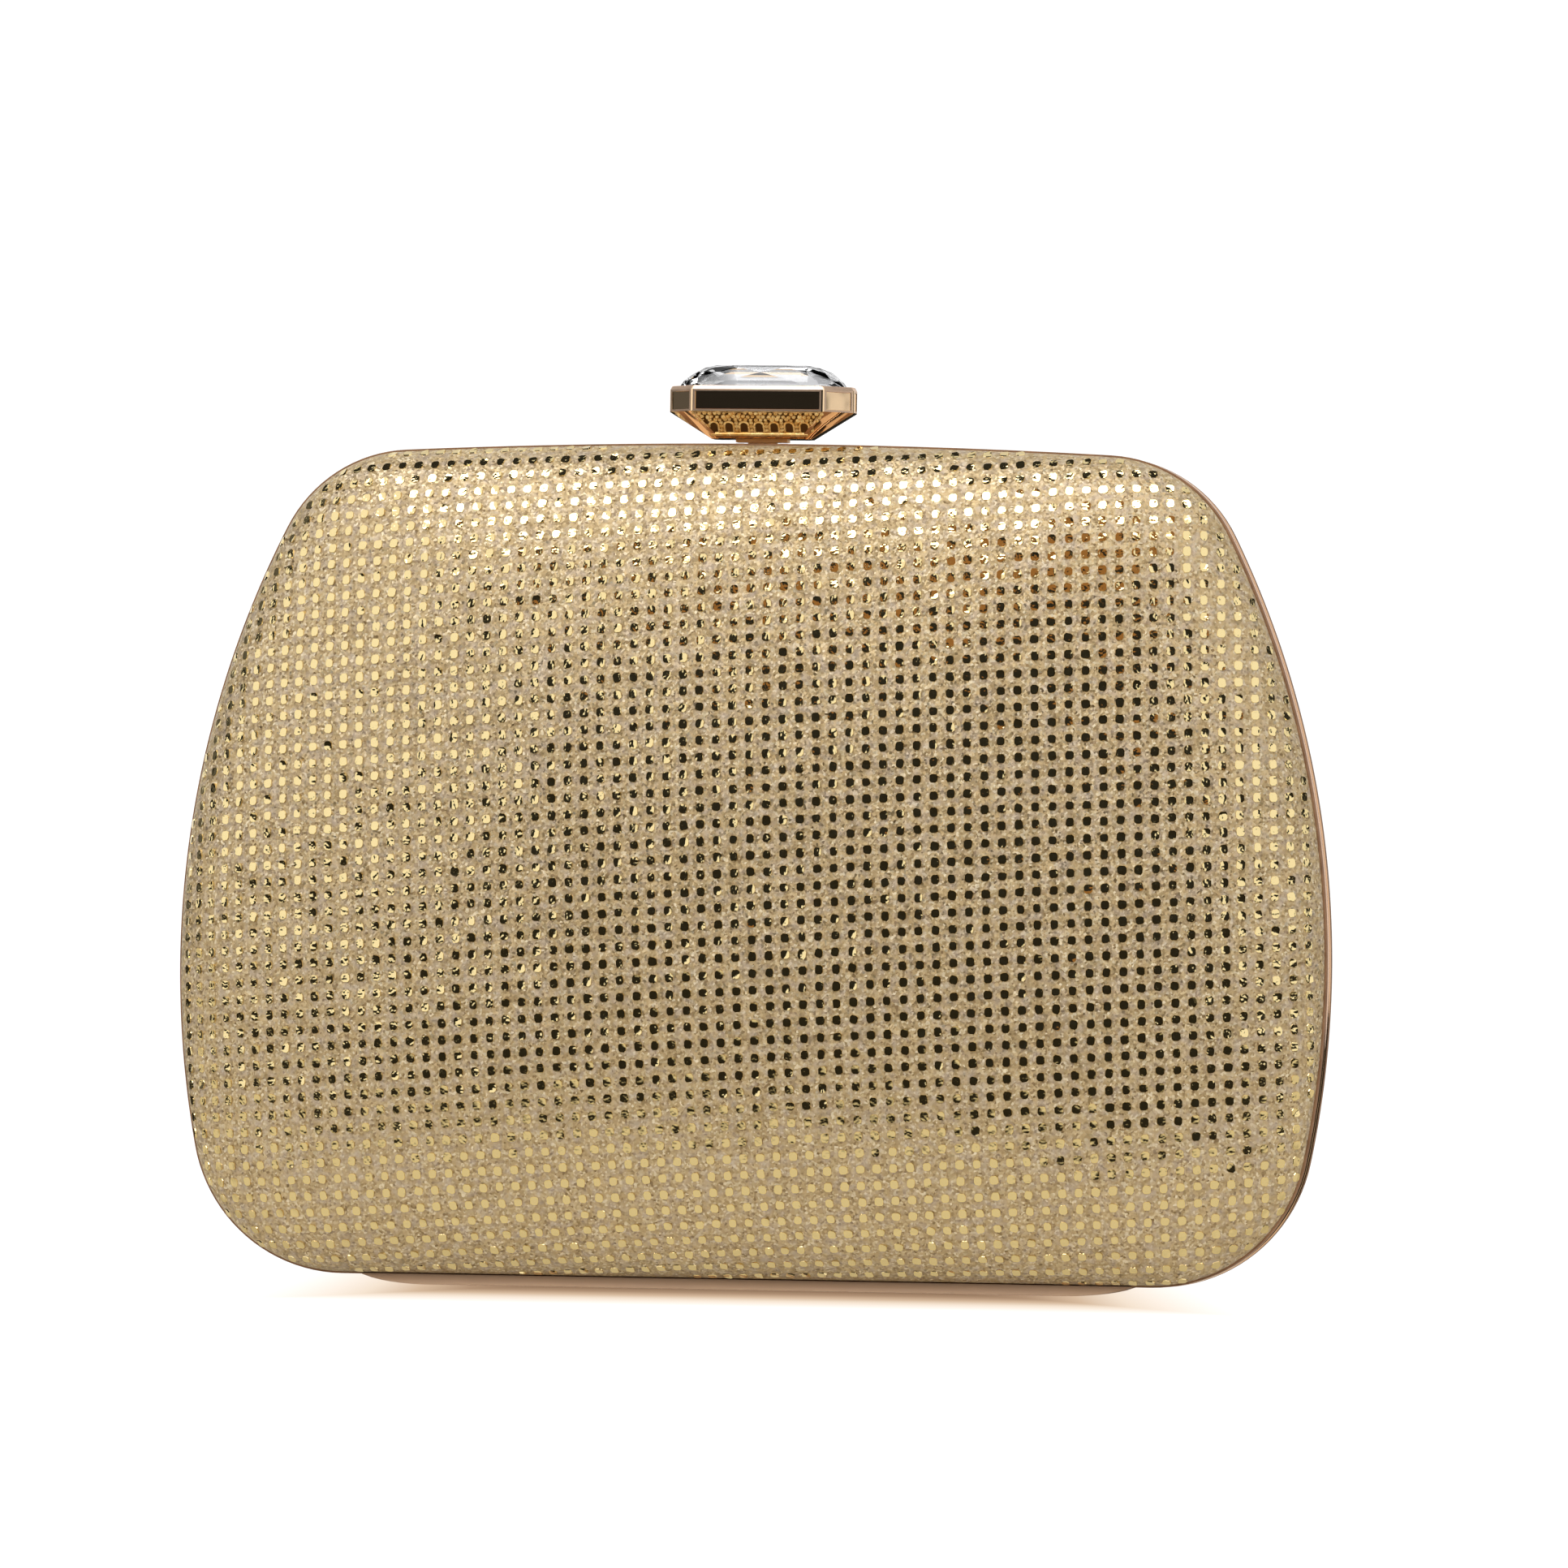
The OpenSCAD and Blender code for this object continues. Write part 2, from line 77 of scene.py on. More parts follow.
MECH_HALF, MECH_LOW, MECH_DEPTH = 9.5, 129.5, 7.0


def polar(centre, radius, angle):
    return np.array(centre) + radius * np.array([math.cos(angle), math.sin(angle)])


corner_c = np.array([BOTTOM_HALF, SHELL_LIFT + CORNER_R])
side_c = polar(corner_c, CORNER_R - SIDE_R, -SIDE_START)
shoulder_c = polar(side_c, SIDE_R - SHOULDER_R, SIDE_END)
top_c = np.array([0.0, shoulder_c[1] - math.sqrt((TOP_R - SHOULDER_R) ** 2 - shoulder_c[0] ** 2)])
top_start = math.atan2(shoulder_c[1] - top_c[1], shoulder_c[0])
BODY_TOP = top_c[1] + TOP_R
PLATE_LOW = BODY_TOP + FRAME_PROUD - 0.45
ARCS = [
    (corner_c, CORNER_R, -math.pi / 2, -SIDE_START),
    (side_c, SIDE_R, -SIDE_START, SIDE_END),
    (shoulder_c, SHOULDER_R, SIDE_END, top_start),
    (top_c, TOP_R, top_start, math.pi / 2),
]


def outline(inset, step=1.6):
    """The body's outline as points (x, z) anticlockwise from the bottom middle, moved inwards."""
    flat = math.ceil(BOTTOM_HALF / step)
    right = [np.array([BOTTOM_HALF * i / flat, SHELL_LIFT + inset]) for i in range(flat + 1)]
    for centre, radius, start, end in ARCS:
        count = math.ceil(radius * (end - start) / step)
        right += [
            polar(centre, radius - inset, start + (end - start) * i / count)
            for i in range(1, count + 1)
        ]
    right = np.array(right)
    left = right[-2:0:-1] * [-1, 1]
    return np.vstack([right, left])


def dome(share):
    """Height of the dome, from 0 to 1, where the outline has shrunk to a share of its size."""
    return (1 - np.clip(share, 0, 1) ** DOME_POWER) ** DOME_EDGE


def ring(inset, share, y):
    """The outline shrunk to a share and turned as much towards the oval, at depth y."""
    v = outline(inset) - DOME_CENTRE
    oval = v / np.linalg.norm(v / (DOME_OVAL - inset), axis=1)[:, None]
    q = share * (share * v + (1 - share) * oval) + DOME_CENTRE
    return np.column_stack([q[:, 0], np.full(len(q), y), q[:, 1]])


def dome_rings(inset, height, count, power=2.4):
    """Rings of a domed surface, from the rim inwards, without the point in its middle."""
    shares = [1 - (k / count) ** power for k in range(count)]
    return [ring(inset, s, RIM_Y + height * dome(s)) for s in shares]


# ---------------------------------------------------------------------------
# Mesh helpers
# ---------------------------------------------------------------------------
def add_object(name, verts, faces, smooth_angle=35.0, tidy=True):
    """A mesh object from points in millimetres, smooth up to an angle, with faces outwards."""
    mesh = bpy.data.meshes.new(name)
    mesh.from_pydata([tuple(c * MM for c in v) for v in verts], [], faces)
    obj = bpy.data.objects.new(name, mesh)
    bpy.context.scene.collection.objects.link(obj)
    if tidy:
        bm = bmesh.new()
        bm.from_mesh(mesh)
        bmesh.ops.recalc_face_normals(bm, faces=bm.faces)
        bm.to_mesh(mesh)
        bm.free()
    mesh.shade_smooth()
    mesh.set_sharp_from_angle(angle=math.radians(smooth_angle))
    return obj


def loft(rings, start_pole=None, end_pole=None, closed=False):
    """Points and faces through equal rings. A pole closes an end in a point, and closed joins
    the last ring to the first."""
    size = len(rings[0])
    verts = [tuple(p) for r in rings for p in r]
    faces = []
    count = len(rings)
    for k in range(count if closed else count - 1):
        a, b = k * size, (k + 1) % count * size
        faces += [(a + i, a + (i + 1) % size, b + (i + 1) % size, b + i) for i in range(size)]
    for pole, base in ((start_pole, 0), (end_pole, (count - 1) * size)):
        if pole is not None:
            tip = len(verts)
            verts.append(tuple(pole))
            faces += [(base + i, base + (i + 1) % size, tip) for i in range(size)]
    return verts, faces


def join(*parts):
    """One list of points and faces from several."""
    verts, faces = [], []
    for v, f in parts:
        base = len(verts)
        verts += [tuple(p) for p in v]
        faces += [tuple(i + base for i in face) for face in f]
    return verts, faces


def flipped(verts, side):
    """The points as they are for the rear half, or mirrored to the front half."""
    return [(x, y * side, z) for x, y, z in verts]


def paint(obj, *materials):
    obj.data.materials.clear()
    for m in materials:
        obj.data.materials.append(m)


REAR, FRONT = 1, -1
HALVES = (("rear", REAR, "rear_half"), ("front", FRONT, "front_half"))


# ---------------------------------------------------------------------------
# Materials
# ---------------------------------------------------------------------------
class Shader:
    """A node material with a Principled shader, and short calls to add nodes to it."""

    def __init__(self, name):
        self.material = bpy.data.materials.new(name)
        self.material.use_nodes = True
        self.nodes = self.material.node_tree.nodes
        self.links = self.material.node_tree.links
        self.shader = self.nodes["Principled BSDF"]

    def set(self, **values):
        for key, value in values.items():
            self.shader.inputs[key.replace("_", " ")].default_value = value
        return self

    def link(self, socket, name):
        self.links.new(socket, self.shader.inputs[name])

    def add(self, kind, inputs=None, **settings):
        node = self.nodes.new("ShaderNode" + kind)
        for key, value in settings.items():
            setattr(node, key, value)
        for key, value in (inputs or {}).items():
            if isinstance(value, bpy.types.NodeSocket):
                self.links.new(value, node.inputs[key])
            else:
                node.inputs[key].default_value = value
        return node

    def place(self):
        return self.add("TexCoord").outputs["Object"]

    def noise(self, scale, detail=2.0, rough=0.5):
        return self.add(
            "TexNoise",
            {"Vector": self.place(), "Scale": scale, "Detail": detail, "Roughness": rough},
        )

    def cells(self, scale, feature="F1"):
        return self.add("TexVoronoi", {"Vector": self.place(), "Scale": scale}, feature=feature)

    def ramp(self, factor, stops):
        node = self.add("ValToRGB", {"Fac": factor})
        points = node.color_ramp.elements
        while len(points) < len(stops):
            points.new(0.5)
        for point, (at, colour) in zip(points, stops):
            point.position = at
            point.color = (*colour, 1)
        return node.outputs["Color"]

    def span(self, value, low, high):
        """A value from 0 to 1 turned into one from low to high."""
        return self.add("MapRange", {"Value": value, "To Min": low, "To Max": high}).outputs[0]

    def bump(self, height, strength, distance, normal=None):
        inputs = {"Height": height, "Strength": strength, "Distance": distance}
        if normal is not None:
            inputs["Normal"] = normal
        return self.add("Bump", inputs).outputs["Normal"]


def glitter_cloth():
    """Beige cloth packed with fine glitter: each fleck has its own tone and its own tilt."""
    m = Shader("glitter_cloth")
    fleck = m.cells(2600)
    tone = m.add("SeparateColor", {"Color": fleck.outputs["Color"]})
    colour = m.ramp(
        tone.outputs[0],
        [
            (0.0, (0.26, 0.17, 0.075)),
            (0.14, (0.42, 0.3, 0.145)),
            (0.55, (0.51, 0.375, 0.195)),
            (0.82, (0.58, 0.455, 0.26)),
            (1.0, (0.76, 0.65, 0.45)),
        ],
    )
    patch = m.noise(320, 3.0)
    shade = m.ramp(patch.outputs["Fac"], [(0.3, (0.86, 0.85, 0.83)), (0.7, (1.0, 1.0, 1.0))])
    mixed = m.add("MixRGB", {"Fac": 1.0, "Color1": colour, "Color2": shade}, blend_type="MULTIPLY")
    silvery = m.ramp(m.noise(650, 1.0).outputs["Fac"], [(0.45, (0, 0, 0)), (0.75, (0.6, 0.6, 0.6))])
    dusted = m.add("MixRGB", {"Fac": silvery, "Color1": mixed.outputs[0], "Color2": (0.45, 0.37, 0.3, 1)})
    m.link(dusted.outputs[0], "Base Color")
    metal = m.ramp(tone.outputs[1], [(0.0, (0.3,) * 3), (0.75, (0.38,) * 3), (0.9, (0.75,) * 3)])
    m.link(metal, "Metallic")
    rough = m.span(tone.outputs[2], 0.32, 0.6)
    m.link(rough, "Roughness")
    centred = m.add("VectorMath", {0: fleck.outputs["Color"], 1: (0.5, 0.5, 0.5)}, operation="SUBTRACT")
    leaning = m.add("VectorMath", {0: centred.outputs[0], "Scale": 0.55}, operation="SCALE")
    normal = m.add("NewGeometry").outputs["Normal"]
    tilted = m.add("VectorMath", {0: normal, 1: leaning.outputs[0]}, operation="ADD")
    m.link(tilted.outputs[0], "Normal")
    return m.material


def foil():
    """Mirror-gold foil dots, pressed unevenly on the cloth."""
    m = Shader("gold_foil").set(Base_Color=(0.95, 0.76, 0.38, 1), Metallic=1.0)
    wave = m.noise(1150, 1.0)
    m.link(m.bump(wave.outputs["Fac"], 0.6, 0.0002), "Normal")
    m.link(m.span(m.noise(2500).outputs["Fac"], 0.04, 0.14), "Roughness")
    return m.material


def polished(name, colour, rough=(0.05, 0.14), ripple=0.03, edge=(1, 1, 1)):
    m = Shader(name).set(Base_Color=(*colour, 1), Metallic=1.0, Specular_Tint=(*edge, 1))
    m.link(m.span(m.noise(260, 4.0).outputs["Fac"], *rough), "Roughness")
    m.link(m.bump(m.noise(190, 1.0).outputs["Fac"], ripple, 0.001), "Normal")
    return m.material


def filigree_gold():
    """Warm yellow gold of the pierced panels, softer than the polished setting."""
    m = Shader("filigree_gold").set(Metallic=0.55)
    tone = m.noise(900, 2.0)
    m.link(m.ramp(tone.outputs["Fac"], [(0.35, (0.78, 0.42, 0.1)), (0.65, (1.0, 0.72, 0.3))]), "Base Color")
    m.link(m.span(tone.outputs["Fac"], 0.18, 0.34), "Roughness")
    return m.material


def gap_shade():
    """Brown painted shade along the frame's outer corner, where the gap between frame and cover lies in
    shadow.
    """
    m = Shader("frame_gap_painted_shade").set(Specular_IOR_Level=0.15)
    tone = m.noise(300, 2.0)
    m.link(m.ramp(tone.outputs["Fac"], [(0.3, (0.17, 0.085, 0.04)), (0.7, (0.26, 0.14, 0.07))]), "Base Color")
    m.link(m.span(tone.outputs["Fac"], 0.5, 0.7), "Roughness")
    return m.material


def painted_rail_light():
    """Gold of the foot rail with painted light: paler where it meets the pale floor in a painted reflection
    of it, darker above in painted shade.
    """
    m = Shader("foot_rail_painted_reflection_shade").set(Specular_IOR_Level=0.3)
    height = m.add("SeparateXYZ", {"Vector": m.place()}).outputs["Z"]
    rise = m.add("MapRange", {"Value": height, "From Min": 0.0, "From Max": 0.002})
    # Painted reflection of the floor at the rail's foot, turning into painted shade within 2 mm of height
    painted_fade = [(0.0, (1.0, 0.74, 0.54)), (0.4, (0.62, 0.42, 0.28)), (0.9, (0.26, 0.16, 0.1))]
    m.link(m.ramp(rise.outputs[0], painted_fade), "Base Color")
    m.link(m.span(m.noise(400, 3.0).outputs["Fac"], 0.35, 0.55), "Roughness")
    return m.material


def satin():
    """Champagne satin: a fine twill with a soft sheen and slow folds of tone."""
    m = Shader("champagne_satin").set(Sheen_Weight=0.35, Sheen_Roughness=0.35, Anisotropic=0.6)
    tone = m.noise(45, 3.0)
    colour = m.ramp(tone.outputs["Fac"], [(0.3, (0.50, 0.38, 0.23)), (0.7, (0.62, 0.50, 0.33))])
    m.link(colour, "Base Color")
    m.link(m.span(m.noise(700, 2.0).outputs["Fac"], 0.32, 0.5), "Roughness")
    twill = m.add(
        "TexWave",
        {"Vector": m.place(), "Scale": 900.0, "Distortion": 0.4, "Detail": 1.0},
        bands_direction="DIAGONAL",
    )
    weave = m.bump(twill.outputs["Fac"], 0.25, 0.00008)
    m.link(m.bump(tone.outputs["Fac"], 0.4, 0.0012, weave), "Normal")
    return m.material


def moulded():
    m = Shader("moulded_shell")
    speck = m.noise(500, 2.0)
    m.link(m.ramp(speck.outputs["Fac"], [(0.3, (0.70, 0.66, 0.58)), (0.7, (0.80, 0.77, 0.70))]), "Base Color")
    m.link(m.span(speck.outputs["Fac"], 0.45, 0.6), "Roughness")
    return m.material


def brushed(name, colour):
    m = Shader(name).set(Metallic=1.0, Base_Color=(*colour, 1))
    stretch = m.add("Mapping", {"Vector": m.place(), "Scale": (120.0, 3000.0, 3000.0)})
    grain = m.add("TexNoise", {"Vector": stretch.outputs[0], "Scale": 1.0, "Detail": 3.0})
    m.link(m.span(grain.outputs["Fac"], 0.22, 0.42), "Roughness")
    m.link(m.bump(grain.outputs["Fac"], 0.2, 0.00005), "Normal")
    return m.material


def cut_glass():
    m = Shader("cut_crystal").set(
        Base_Color=(1, 1, 1, 1), Transmission_Weight=1.0, IOR=1.56, Specular_IOR_Level=0.6
    )
    m.link(m.span(m.noise(300).outputs["Fac"], 0.0, 0.015), "Roughness")
    return m.material


CLOTH = glitter_cloth()
FOIL = foil()
GOLD = polished("polished_gold", (0.93, 0.64, 0.40), edge=(1.0, 0.76, 0.58))
FRAME_GAP_SHADE = gap_shade()
RAIL_REFLECTION_SHADE = painted_rail_light()
LIP_GOLD = polished("satin_gold", (0.86, 0.62, 0.45), (0.34, 0.44), 0.02)
NECK_GOLD = polished("neck_gold", (0.98, 0.62, 0.28), (0.4, 0.52), 0.05)
BEZEL_GOLD = polished("bezel_gold", (0.94, 0.68, 0.42), (0.03, 0.08), 0.06)
CELL_GOLD = filigree_gold()
# Dark brown painted shade for the sunk panels behind the filigree's arches
RECESS_SHADE = polished("filigree_recess_painted_shade", (0.2, 0.11, 0.04), (0.5, 0.6), 0.1)
SILVER_FOIL = polished("silver_foil", (0.97, 0.97, 0.98), (0.2, 0.35), 0.1)
SATIN = satin()
SHELL_PLASTIC = moulded()
BRASS = brushed("hinge_brass", (0.72, 0.50, 0.26))
STEEL = brushed("nickel_steel", (0.62, 0.61, 0.60))
GLASS = cut_glass()


# ---------------------------------------------------------------------------
# Shells, covers and linings
# ---------------------------------------------------------------------------
def tray(outer, inner, collar, steps):
    """A domed tray between an outer and an inner surface, each (inset, height)."""
    outside = dome_rings(*outer, steps)
    inside = dome_rings(*inner, steps)
    rings = outside[::-1] + [ring(i, 1.0, y) for i, y in collar] + inside
    tips = [(DOME_CENTRE[0], RIM_Y + h, DOME_CENTRE[1]) for _, h in (outer, inner)]
    return loft(rings, *tips)


def make_covers():
    inside = COVER_T + GLUE_GAP
    verts, faces = tray((0.0, DOME_H), (inside, DOME_H - inside), [], 44)
    made = {}
    for half, side, body in HALVES:
        obj = add_object(f"{half}_cloth_cover", flipped(verts, side), faces, 60)
        paint(obj, CLOTH)
        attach(obj, body)
        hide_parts(f"{half}_cover")
        made[half] = obj
    return made


def make_shells():
    collar = [(SKIRT_INSET, RIM_Y), (SKIRT_INSET, SKIRT_Y), (SHELL_INNER, SKIRT_Y)]
    verts, faces = tray(
        (SHELL_INSET, DOME_H - SHELL_INSET), (SHELL_INNER, DOME_H - SHELL_INNER), collar, 26
    )
    for half, side, body in HALVES:
        obj = add_object(f"{half}_moulded_shell", flipped(verts, side), faces, 50)
        if half == "rear":
            stem_low = BODY_TOP - SHELL_INNER - 2.5
            cut_box(obj, (-STEM_ROOM, 0.0, stem_low), (STEM_ROOM, STEM_BACK, BODY_TOP))
        paint(obj, SHELL_PLASTIC)
        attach(obj, body)
        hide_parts(f"{half}_shell")


# ---------------------------------------------------------------------------
# Foil dots, laid out as a flat grid of cloth and draped over the dome
# ---------------------------------------------------------------------------
PITCH = 2.74
DOT_HALF = (0.7, 0.76)
DRAPE = 0.6
CURL, CURL_START = 0.1, -0.15

edge_points = outline(0.0, 0.8) - DOME_CENTRE
edge_angle = np.arctan2(edge_points[:, 1], edge_points[:, 0])
edge_order = np.argsort(edge_angle)
edge_angle = edge_angle[edge_order]
edge_radius = np.linalg.norm(edge_points, axis=1)[edge_order]
SHARES = 1 - np.linspace(1, 0, 160) ** 2.6
DOME_LINE = RIM_Y + DOME_H * dome(SHARES)


def drape(u, v):
    """Where the flat cloth's point (u, v), from the dome's centre, lies on the domed cover,
    and how far from the rim it is along the cloth."""
    reach = np.hypot(u, v)
    angle = np.arctan2(v, u)
    rim = np.interp(angle, edge_angle, edge_radius, period=2 * math.pi)
    oval = 1 / np.hypot(np.cos(angle) / DOME_OVAL[0], np.sin(angle) / DOME_OVAL[1])
    places = np.zeros((len(u), 3))
    spare = np.zeros(len(u))
    for i in range(len(u)):
        across = SHARES * (SHARES * rim[i] + (1 - SHARES) * oval[i])
        along = np.concatenate([[0], np.cumsum(np.hypot(np.diff(across), np.diff(DOME_LINE)))])
        cloth = along**DRAPE * across ** (1 - DRAPE)
        share = np.interp(reach[i], cloth, SHARES)
        spare[i] = cloth[-1] - reach[i]
        out = share * (share * rim[i] + (1 - share) * oval[i])
        places[i] = (
            out * math.cos(angle[i]),
            RIM_Y + DOME_H * dome(share),
            out * math.sin(angle[i]) + DOME_CENTRE[1],
        )
    return places, spare


def cloth_grid(turn, bend):
    """Grid points of the printed cloth, turned a little and bent as it was stretched on."""
    n = 48
    i, j = np.meshgrid(np.arange(-n, n + 1), np.arange(-n, n + 1))
    u, v = i.ravel() * PITCH + 0.9, j.ravel() * PITCH + 1.1
    c, s = math.cos(turn), math.sin(turn)
    u, v = c * u - s * v, s * u + c * v
    v = v + math.tan(bend) * u
    keep = (np.abs(u) < 115) & (np.abs(v) < 100)
    return u[keep], v[keep]


def dot_shapes(places, right, up):
    """Points and faces of one thin dot of foil at each place, with an edge curled up."""
    plan = np.array([(0.55, 1), (-0.55, 1), (-1, 0.55), (-1, -0.55),
                     (-0.55, -1), (0.55, -1), (1, -0.55), (1, 0.55)])
    sides = len(plan)
    levels = ((-0.08, 1.03), (0.06, 0.94), (0.07, 0.6))
    crown = 0.072
    count = len(places)
    out = np.cross(up, right)
    lean = rng.normal(0, 0.02, (count, 2))
    size = np.array(DOT_HALF) * rng.normal(1, 0.04, (count, 2))
    twist = rng.normal(0, 0.07, count)
    ragged = rng.normal(1, 0.05, (count, sides))
    curl = np.clip(rng.normal(CURL, 0.35 * CURL, count), 0, None)
    towards = rng.normal(math.radians(15), math.radians(30), count)
    verts = np.zeros((count, 3 * sides + 1, 3))
    for level, (height, grow) in enumerate(levels):
        for k, (px, py) in enumerate(plan):
            spread = grow * ragged[:, k]
            a = (px * np.cos(twist) - py * np.sin(twist)) * size[:, 0] * spread
            b = (px * np.sin(twist) + py * np.cos(twist)) * size[:, 1] * spread
            rise = height
            if level:
                reach = (a * np.cos(towards) + b * np.sin(towards)) / DOT_HALF[0]
                rise = height + lean[:, 0] * a + lean[:, 1] * b
                rise = rise + curl * np.clip(reach - CURL_START, 0, None) ** 2
            verts[:, level * sides + k] = (
                places + a[:, None] * right + b[:, None] * up + np.reshape(rise, (-1, 1)) * out
            )
    verts[:, 3 * sides] = places + crown * out
    faces = [tuple(range(sides))[::-1]]
    for level in range(2):
        base = level * sides
        for k in range(sides):
            n = (k + 1) % sides
            faces.append((base + k, base + n, base + sides + n, base + sides + k))
    faces += [(2 * sides + k, 2 * sides + (k + 1) % sides, 3 * sides) for k in range(sides)]
    per_dot = 3 * sides + 1
    return verts.reshape(-1, 3), [
        tuple(i + d * per_dot for i in face) for d in range(count) for face in faces
    ]


def make_dots():
    made = {}
    for half, side, body in HALVES:
        u, v = cloth_grid(math.radians(1.9), math.radians(1.8))
        wander = rng.normal(0, 0.03, (2, len(u)))
        u, v = u + wander[0], v + wander[1]
        places, spare = drape(u, v)
        step = 0.2
        right = drape(u + step, v)[0] - places
        up = drape(u, v + step)[0] - places
        keep = spare > 0.9
        places, right, up = places[keep], right[keep], up[keep]
        right /= np.linalg.norm(right, axis=1)[:, None]
        up -= right * np.sum(up * right, axis=1)[:, None]
        up /= np.linalg.norm(up, axis=1)[:, None]
        verts, faces = dot_shapes(places, right, up)
        obj = add_object(f"{half}_foil_dots", flipped(verts, side), faces, 30)
        paint(obj, FOIL)
        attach(obj, body)
        made[half] = obj
    return made


# ---------------------------------------------------------------------------
# Metal frame
# ---------------------------------------------------------------------------
# How far the frame's brown painted shade of the gap between frame and cover reaches from the cover's side, in
# millimetres
GAP_SHADE_DEPTH = 1.9


def rounded_section(x0, x1, y0, y1, r, steps=4):
    """Corner points of a rectangle with rounded corners, anticlockwise."""
    points = []
    corners = ((x1, y1, 0), (x0, y1, 90), (x0, y0, 180), (x1, y0, 270))
    for x, y, start in corners:
        cx, cy = x - math.copysign(r, x - (x0 + x1) / 2), y - math.copysign(r, y - (y0 + y1) / 2)
        for k in range(steps + 1):
            a = math.radians(start + 90 * k / steps)
            points.append((cx + r * math.cos(a), cy + r * math.sin(a)))
    return points


def frame_band(rear):
    """The frame's band round the outline, with room cut for the hinge and for the knob's stem."""
    section = rounded_section(-FRAME_PROUD, WEB_INNER, SEAM_Y, FRAME_D, 0.12)
    # Extra section points where the brown painted shade next to the cover starts
    section.insert(0, (WEB_INNER, FRAME_D - GAP_SHADE_DEPTH))
    section.insert(11, (-FRAME_PROUD, FRAME_D - GAP_SHADE_DEPTH))
    rings = []
    for inset, y in section:
        line = outline(inset)
        depth = np.full(len(line), y)
        hinge = (np.abs(line[:, 0]) < HINGE_ROOM) & (line[:, 1] < FOOT_TOP + 1)
        depth[hinge] = np.maximum(depth[hinge], FOOT_Y)
        if rear:
            top = line[:, 1] > BODY_TOP - 10
            plate = top & (np.abs(line[:, 0]) < PLATE_ROOM)
            line[plate, 1] = np.minimum(line[plate, 1], PLATE_LOW)
            stem = top & (np.abs(line[:, 0]) < STEM_ROOM)
            depth[stem] = np.maximum(depth[stem], STEM_BACK)
        rings.append(np.column_stack([line[:, 0], depth, line[:, 1]]))
    return loft(rings, closed=True)


def foot_rail():
    """Rail under half of the frame, with rounded edges and ends that sweep up into the body."""
    straight, sweep = FOOT_HALF - 7.0, 12.5
    rings = []
    for x in np.concatenate([[-1.0], np.linspace(-0.99, -0.1, 8), [0.0]]):
        lift = (FOOT_TOP - 0.4) * (1 - math.sqrt(1 - x * x))
        section = rounded_section(FOOT_Y, FRAME_D, lift, FOOT_TOP - 0.02, 0.18)
        rings.append([(x * sweep - straight, y, z) for y, z in section])
    rings += [[(-x, y, z) for x, y, z in r] for r in rings[::-1]]
    middle = ((FOOT_Y + FRAME_D) / 2, FOOT_TOP - 0.2)
    ends = [(sign * (straight + sweep), *middle) for sign in (-1, 1)]
    return loft(rings, *ends)


def make_frames():
    rail = foot_rail()
    for half, side, body in HALVES:
        band = frame_band(half == "rear")
        verts, faces = join(band, rail)
        obj = add_object(f"{half}_gold_frame", flipped(verts, side), faces, 40)
        paint(obj, GOLD, RAIL_REFLECTION_SHADE, FRAME_GAP_SHADE)
        # The foot rail's faces take the gold with its painted reflection and painted shade
        for face in obj.data.polygons[len(band[1]):]:
            face.material_index = 1
        # Faces of the band next to the cover take the brown painted shade of the gap between frame and cover
        for face in obj.data.polygons[:len(band[1])]:
            if abs(face.center.y) > (FRAME_D - GAP_SHADE_DEPTH) * MM:
                face.material_index = 2
        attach(obj, body)
        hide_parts(f"{half}_frame")


# ---------------------------------------------------------------------------
# Linings and pocket
# ---------------------------------------------------------------------------
def cut_box(obj, low, high):
    """Takes a box, given in millimetres, out of an object."""
    corners = [(x, y, z) for x in (low[0], high[0]) for y in (low[1], high[1]) for z in (low[2], high[2])]
    quads = [(0, 1, 3, 2), (4, 6, 7, 5), (0, 4, 5, 1), (2, 3, 7, 6), (0, 2, 6, 4), (1, 5, 7, 3)]
    cutter = add_object("cutter", corners, quads)
    modifier = obj.modifiers.new("cut", "BOOLEAN")
    modifier.operation = "DIFFERENCE"
    modifier.solver = "EXACT"
    modifier.object = cutter
    bpy.context.view_layer.update()
    cut = bpy.data.meshes.new_from_object(obj.evaluated_get(bpy.context.evaluated_depsgraph_get()))
    obj.modifiers.clear()
    obj.data = cut
    bpy.data.objects.remove(cutter)


def piping(inset, y, radius, sides=10):
    """A round cord of cloth along the lining's rim."""
    rings = []
    for k in range(sides):
        a = 2 * math.pi * k / sides
        line = outline(inset + radius * math.cos(a))
        depth = np.full(len(line), y + radius * math.sin(a))
        rings.append(np.column_stack([line[:, 0], depth, line[:, 1]]))
    return loft(rings, closed=True)


def make_linings():
    collar = [(LINING_INSET, LINING_RIM_Y), (LINING_INNER, LINING_RIM_Y)]
    board = tray(
        (LINING_INSET, DOME_H - LINING_INSET), (LINING_INNER, DOME_H - LINING_INNER), collar, 34
    )
    cord = piping(LINING_INNER + 0.35, 0.95, 0.42)
    made = {}
    for half, side, body in HALVES:
        for name, (verts, faces) in (("lining", board), ("piping", cord)):
            obj = add_object(f"{half}_satin_{name}", flipped(verts, side), faces, 60)
            low, high = sorted((-1.0 * side, MECH_DEPTH * side))
            cut_box(obj, (-MECH_HALF, low, MECH_LOW), (MECH_HALF, high, BODY_TOP))
            paint(obj, SATIN)
            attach(obj, body)
            made[half, name] = obj
        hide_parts(f"{half}_lining")
    return made


